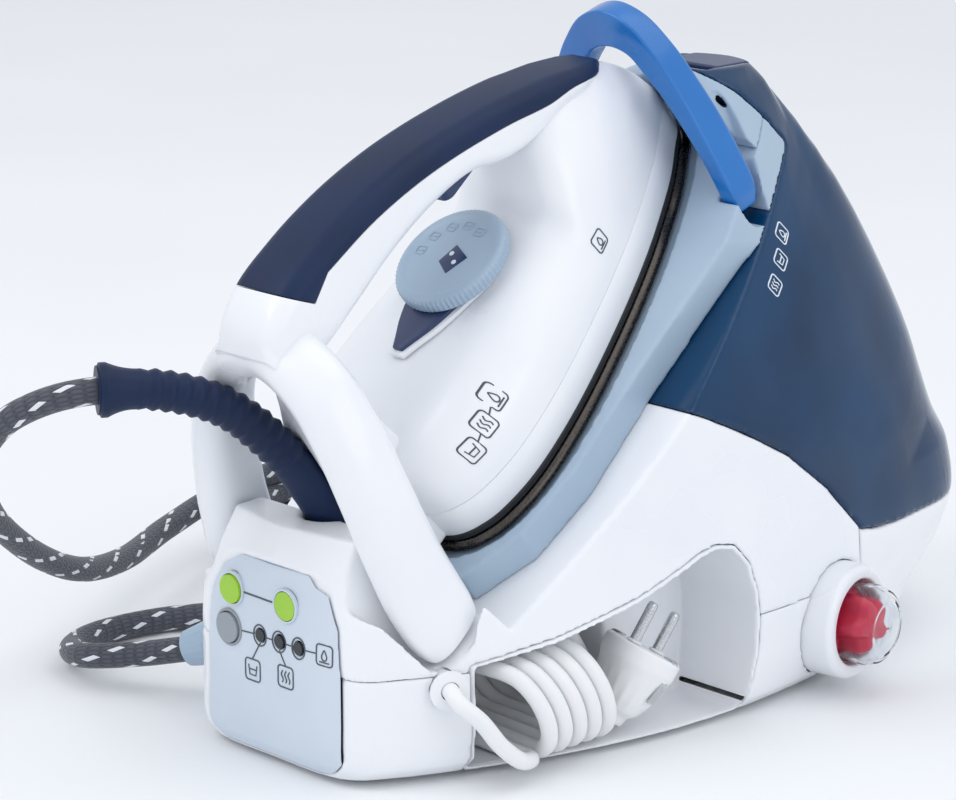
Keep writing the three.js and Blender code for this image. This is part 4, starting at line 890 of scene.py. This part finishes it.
heelRight = [(0, -226, 119, 9, 14), (13, -228, 117, 9.5, 14), (26, -232, 108, 10, 14.5),
             (38, -240, 91, 10.5, 15), (47, -251, 66, 11, 15.5), (53, -261, 40, 11, 16.5),
             (57, -267, 18, 10.5, 17.5), (59, -269, 4, 9.5, 17), (59.5, -269, -4, 8, 15)]
heelRows = [(-r[0],) + r[1:] for r in heelRight[:0:-1]] + heelRight
heelRun = through(np.array(heelRows, float), 130)
heelPath = heelRun[:, :3]
heelAlong = np.gradient(heelPath, axis=0)
heelAlong /= np.linalg.norm(heelAlong, axis=1)[:, None]
angles = np.arange(40) * 2 * math.pi / 40
heelRings = []
for centre, along, (halfWide, halfDeep) in zip(heelPath, heelAlong, heelRun[:, 3:]):
    deep = np.array([0, 1.0, 0]) - along * along[1]
    deep /= np.linalg.norm(deep)
    wide = np.cross(along, deep)
    c = np.sign(np.cos(angles)) * np.abs(np.cos(angles)) ** 0.8
    s = np.sign(np.sin(angles)) * np.abs(np.sin(angles)) ** 0.8
    heelRings.append(centre + c[:, None] * halfWide * wide + s[:, None] * halfDeep * deep)
heelPiece = skin("heelFrame", ironPlace(np.array(heelRings)))
addModifier(heelPiece, "BEVEL", width=0.003, segments=3, limit_method="ANGLE", angle_limit=math.radians(50))
settle(heelPiece)
finishPiece(heelPiece, whiteAbs, "iron", ("heel_frame",), 50)
mouldedFrom("heel_cover", "heelCover", whiteAbs, "iron", 0.9, 6, 0.4, False)
print("iron ready")

# ---- the dial, its pointer and the trigger

dial = {"u": -134, "n": 63.2, "radius": 27.0, "teeth": 72, "toothDeep": 0.7}
dialOrigin = noseAt + ironLong * dial["u"] + ironUp * dial["n"]


def knurl(reach, angles, height):
    deep = dial["toothDeep"] * (0.5 - 0.5 * np.cos(angles * dial["teeth"])) if 0.3 < height < 5.4 else 0
    return reach - np.where(reach > 24, deep, 0)


dialProfile = [(0.3, 0), (26.2, 0), (26.8, 0.5), (27, 1.2), (27, 4.2), (26.7, 5.2), (25.6, 6.1),
               (24.4, 6.6), (22.6, 6.8), (21.6, 6.4), (20.9, 6.2), (12, 6.9), (0.3, 7.3)]
dialPiece = turnedPiece("temperatureDial", dialProfile, dialOrigin, ironUp, 288, knurl)
finishPiece(dialPiece, paleBlueAbs, "dial", ("temperature_dial",), 30)


def flatPiece(name, outline, thick, at, material, body, stands=(), bevelMm=0.3):
    # A plate in mm from a flat outline: at() turns outline points and a height into drawing points.
    low = [at(a, b, 0) for a, b in outline]
    high = [at(a, b, thick) for a, b in outline]
    obj = skin(name, place(np.array([low, high], float)))
    if bevelMm:
        addModifier(obj, "BEVEL", width=bevelMm / 1000, segments=2, limit_method="ANGLE",
                    angle_limit=math.radians(50))
        settle(obj)
    return finishPiece(obj, material, body, stands, 35)


def onIron(u0, n0):
    return lambda a, b, h: noseAt + np.array([a, 0, 0]) + ironLong * (u0 + b) + ironUp * (n0 + h)


def roundedBox(w, h, r, steps=5, cx=0, cy=0):
    out = []
    for sx, sy, start in ((1, -1, -90), (1, 1, 0), (-1, 1, 90), (-1, -1, 180)):
        for k in range(steps + 1):
            a = math.radians(start + k * 90 / steps)
            out.append((cx + sx * (w / 2 - r) + r * math.cos(a), cy + sy * (h / 2 - r) + r * math.sin(a)))
    return out


def teardrop(radius, tail, halfTail, grow=0):
    turns = np.linspace(-0.35, math.pi + 0.35, 40)
    arc = [((radius + grow) * math.cos(a), (radius + grow) * math.sin(a)) for a in turns]
    leftSide = [(-9 - grow, -34), (-halfTail - grow, tail + 5), (-halfTail * 0.5 - grow * 0.7, tail - grow)]
    line = through(np.array([arc[-1]] + leftSide, float), 16)[1:]
    mirrored = [(-x, y) for x, y in line[::-1]]
    return arc + [tuple(p) for p in line] + mirrored


flatPiece("dialPointer", teardrop(19, -46.5, 5), 2.0, onIron(dial["u"], 60.6), navyNylon, "iron",
          ("dial_pointer",), 0.5)
flatPiece("pointerSeat", teardrop(19, -46.5, 5, 2.2), 2.2, onIron(dial["u"], 58.6), whiteAbs, "iron",
          (), 0.6)
windowOutline = [(6, -9.5), (11.5, 0.5), (1.5, 5.5), (-2, -4.5)]
flatPiece("dialWindow", [tuple(p) for p in windowOutline], 0.5, onIron(dial["u"], 63.2 + 6.9), navyNylon,
          "dial", (), 0.2)
for k, (a, b) in enumerate(((2.2, 0.6), (6.5, -3.4))):
    dotAt = noseAt + np.array([a, 0, 0]) + ironLong * (dial["u"] + b) + ironUp * (63.2 + 7.3)
    dot = turnedPiece("windowDot" + str(k + 1), [(0.05, 0), (1.25, 0), (1.15, 0.3), (0.05, 0.4)], dotAt,
                      ironUp, 24)
    finishPiece(dot, whiteInk, "dial")
print("dial ready")

# ---- the lock hoop

hoop = {"pivot": (62.0, 217.0), "lean": math.atan2(28, 84.5)}
hoopRows = [(58, -2, 50, -2, 6.5), (58.5, 6, 49.5, 6, 8), (54, 20, 45, 20, 8.5), (47.5, 36, 38, 34, 8.5),
            (38.5, 54, 28.5, 49, 8), (27, 72, 18.5, 61, 7.5), (14.5, 84.5, 10, 69, 7), (0, 89, 0, 71.5, 7)]
hoopAll = hoopRows + [(-a, b, -c, d, e) for a, b, c, d, e in hoopRows[-2::-1]]
hoopUp = np.array([0, -math.sin(hoop["lean"]), math.cos(hoop["lean"])])
hoopBack = np.array([0, math.cos(hoop["lean"]), math.sin(hoop["lean"])])
hoopFoot = np.array([0, hoop["pivot"][0], hoop["pivot"][1]])
hoopRings = []


def onHoop(x, height, depth):
    return hoopFoot + hoopUp * height + hoopBack * depth + np.array([x, 0, 0])


for outX, outHigh, inX, inHigh, half in through(np.array(hoopAll, float), 110):
    shoulderX, shoulderHigh = (outX * 3 + inX) / 4, (outHigh * 3 + inHigh) / 4
    hoopRings.append([onHoop(outX, outHigh, -half), onHoop(outX, outHigh, half * 0.75),
                      onHoop(shoulderX, shoulderHigh, half), onHoop(inX, inHigh, half),
                      onHoop(inX, inHigh, -half)])
hoopPiece = skin("lockHoop", place(np.array(hoopRings)))
addModifier(hoopPiece, "BEVEL", width=0.0016, segments=4, limit_method="ANGLE",
            angle_limit=math.radians(28))
settle(hoopPiece)
finishPiece(hoopPiece, blueAbs, "hoop", ("lock_hoop",), 35)

# ---- the rinsing valve

knob = {"centre": (98.5, 78.0, 33.0), "axis": (0.985, 0.174, 0.0)}
knobAxis = np.array(knob["axis"]) / np.linalg.norm(knob["axis"])
knobAt = np.array(knob["centre"])
bossProfile = roundedProfile([(19.2, -5), (26, -5), (26, 12), (24, 14), (20, 14), (19.2, 12), (19.2, -5)],
                             1.6)
boss = turnedPiece("valveBoss", bossProfile, knobAt, knobAxis, 96)
finishPiece(boss, whiteAbs, "root", ("valve_boss",))


def gripFins(reach, angles, height):
    wave = 0.5 + 0.5 * np.cos(angles * 5)
    return reach * (1 - 0.36 * (1 - wave) * np.clip((height - 6) / 2, 0, 1))


collectorProfile = roundedProfile([(0.3, -5), (17, -5), (17.8, -4), (17.8, 5), (16, 6.6), (14.6, 8),
                                   (13.5, 18), (11, 21.5), (0.3, 22)], 1.0)
collector = turnedPiece("scaleCollector", collectorProfile, knobAt, knobAxis, 120, gripFins)
finishPiece(collector, crimsonNylon, "collector", ("collector_plug",), 40)
domeProfile = roundedProfile([(16.5, 6.8), (18.6, 6.8), (18.6, 9), (18.2, 9.6), (18.2, 20), (16.5, 25.5),
                              (12, 28.6), (0.2, 29.4), (0.2, 27.8), (11.5, 27.1), (15.1, 24.4),
                              (16.6, 19.5), (16.5, 6.8)], 0.8)
dome = turnedPiece("collectorCap", domeProfile, knobAt, knobAxis, 96)
finishPiece(dome, clearPolycarbonate, "cap", ("collector_cap",))
print("valve ready")


# ---- printed marks that follow the surface under them

def strokeMesh(points, width, closed=False):
    pts = np.asarray(points, float)
    if closed:
        ahead, behind = np.roll(pts, -1, axis=0), np.roll(pts, 1, axis=0)
    else:
        ahead = np.vstack([pts[1:], 2 * pts[-1] - pts[-2]])
    behind = np.vstack([2 * pts[0] - pts[1], pts[:-1]])
    direction = ahead - behind
    direction /= np.maximum(np.linalg.norm(direction, axis=1), 1e-9)[:, None]
    normal = np.stack([-direction[:, 1], direction[:, 0]], axis=1)
    verts = np.concatenate([pts + normal * width / 2, pts - normal * width / 2])
    n = len(pts)
    faces = [(i, (i + 1) % n, n + (i + 1) % n, n + i) for i in range(n if closed else n - 1)]
    return verts, faces


def lineOf(a, b, stepMm=1.5):
    count = max(2, int(math.dist(a, b) / stepMm) + 1)
    return np.linspace(a, b, count)


def iconFrame(cx, cy, size):
    return [strokeMesh(roundedBox(size, size, size * 0.18, 4, cx, cy), 0.55, True)]


def steamGlyph(cx, cy, size):
    out = []
    for dx in (-0.22, 0, 0.22):
        wave = [(cx + size * (dx + 0.06 * math.sin(t * 7)), cy + size * (t - 0.5) * 0.55) for t
                in np.linspace(0, 1, 10)]
        out.append(strokeMesh(wave, 0.5))
    return out


def dropGlyph(cx, cy, size):
    ring = [(cx + size * 0.17 * math.cos(a) * (1 - 0.55 * max(math.sin(a), 0)),
             cy - size * 0.06 + size * 0.2 * math.sin(a) * (1.5 if math.sin(a) > 0 else 1)) for a
            in np.linspace(0, 2 * math.pi, 18)[:-1]]
    return [strokeMesh(ring, 0.5, True), strokeMesh(lineOf((cx - size * 0.3, cy - size * 0.34),
                                                           (cx + size * 0.3, cy - size * 0.34)), 0.5)]


def cupGlyph(cx, cy, size):
    return [strokeMesh([(cx - size * 0.28, cy + size * 0.22), (cx - size * 0.2, cy - size * 0.24),
                        (cx + size * 0.2, cy - size * 0.24), (cx + size * 0.28, cy + size * 0.22)], 0.5),
            strokeMesh(lineOf((cx - size * 0.24, cy + 0.02 * size), (cx + size * 0.24, cy + 0.02 * size)),
                       0.5)]


def printOn(name, shapes, target, at, direction, material, body, thickMm=0.25, reach=60.0):
    # Lays flat shapes on a piece: at() gives a start point in mm, and each point drops along a direction
    # onto it.
    tree = BVHTree.FromPolygons([v.co for v in target.data.vertices],
                                [tuple(p.vertices) for p in target.data.polygons])
    verts, faces = [], []
    towards = Vector(direction).normalized()
    for shapeVerts, shapeFaces in shapes:
        spots = []
        for a, b in shapeVerts:
            start = Vector(place(at(a, b)))
            hit = tree.ray_cast(start, towards, reach / 1000)[0]
            spots.append(None if hit is None else hit - towards * 0.00003)
        if any(s is None for s in spots):
            print("mark off the surface in", name)
            continue
        base = len(verts)
        count = len(spots)
        verts += [s - towards * thickMm / 1000 for s in spots] + [s + towards * 0.0002 for s in spots]
        edges = {}
        for f in shapeFaces:
            faces.append(tuple(base + i for i in f))
            faces.append(tuple(base + count + i for i in reversed(f)))
            for i, j in zip(f, f[1:] + f[:1]):
                edges[(i, j)] = edges.get((i, j), 0) + 1
        for (i, j) in edges:
            if (j, i) not in edges:
                faces.append((base + j, base + i, base + count + i, base + count + j))
    obj = meshObject(name, verts, faces)
    return finishPiece(obj, material, body)


panelShapes = [strokeMesh(lineOf((-16.5, 73), (3, 73)), 0.7)]
panelShapes += iconFrame(-11, 40, 9.5) + cupGlyph(-11, 40, 9.5)
panelShapes += iconFrame(10, 42, 9.5) + steamGlyph(10, 42, 9.5)
panelShapes += iconFrame(33.4, 57, 9) + dropGlyph(33.4, 57, 9)
for ends in (((-6, 53), (-11, 45.2)), ((6, 53), (10, 47.2)), ((21.5, 56.6), (28.6, 57)),
             ((-18.6, 55.8), (-9.6, 56.4)), ((-2.4, 56.5), (2.4, 56.5)), ((9.6, 56.5), (14.4, 56.5))):
    panelShapes.append(strokeMesh(lineOf(*ends), 0.5))
for cx in (-6, 6, 18):
    eyeAngles = np.linspace(0, 2 * math.pi, 25)[:-1]
    ring = [(cx + 4.0 * math.cos(a), 56.5 + 4.6 * math.sin(a)) for a in eyeAngles]
    panelShapes.append(strokeMesh(ring, 0.6, True))
printOn("panelPrint", panelShapes, panelPiece, lambda a, b: (a, -185, b), (0, 1, 0), slateInk, "root")

flankShapes = []
for k, (u, n, glyph) in enumerate(((-206, 40, cupGlyph), (-194, 43, steamGlyph), (-182, 46, dropGlyph))):
    flankShapes += iconFrame(u, n, 8.5) + glyph(u, n, 8.5)
flankShapes += [strokeMesh(lineOf((-201.5, 41), (-198.5, 42)), 0.5),
                strokeMesh(lineOf((-189.5, 44), (-186.5, 45)), 0.5)]
flankShapes += iconFrame(-92, 40, 8) + dropGlyph(-92, 40, 8)
printOn("flankPrint", flankShapes, bodyPiece,
        lambda a, b: noseAt + np.array([95, 0, 0]) + ironLong * a + ironUp * b,
        (-1, 0, 0), slateInk, "iron", reach=95)

tankShapes = []
for u, n, glyph in ((-29.6, -20.6, dropGlyph), (-41.1, -24.0, cupGlyph), (-53.6, -25.6, steamGlyph)):
    tankShapes += iconFrame(u, n, 7.2) + glyph(u, n, 7.2)
printOn("tankPrint", tankShapes, tankPiece,
        lambda a, b: noseAt + np.array([120, 0, 0]) + ironLong * a + ironUp * b,
        (-1, 0, 0), whiteInk, "tank", reach=110)

dialShapes = []
for k in range(5):
    a = math.radians(62 + k * 30)
    cx, cy = 16.5 * math.cos(a), 16.5 * math.sin(a)
    dialShapes += [strokeMesh(roundedBox(5.2, 4.2, 1.0, 3, cx, cy), 0.5, True),
                   strokeMesh(lineOf((cx - 1.6, cy), (cx + 1.6, cy), 1), 0.5)]


def overDial(a, b):
    return dialOrigin + np.array([a, 0, 0]) + ironLong * b + ironUp * 12


printOn("dialMarks", dialShapes, dialPiece, overDial, tuple(-ironUp), paleBlueAbs, "dial",
        0.3)
print("marks ready")

# Rings round the controls on the panel
for name, x, z, inner, outer in (("ringPower", -24, 73, 6.5, 7.4), ("ringReady", 10, 73, 6.5, 7.4),
                                 ("ringReset", -26, 55.5, 6.9, 8.2)):
    ringProfile = roundedProfile([(inner, -1), (inner, 1.1), (outer, 1.1), (outer, -1), (inner, -1)], 0.4,
                                 3)
    ringPiece = turnedPiece(name, ringProfile, (x, -167.3, z), (0, -1, 0), 64)
    finishPiece(ringPiece, greyAbs if name == "ringReset" else panelPlate, "root")

print("all pieces ready")
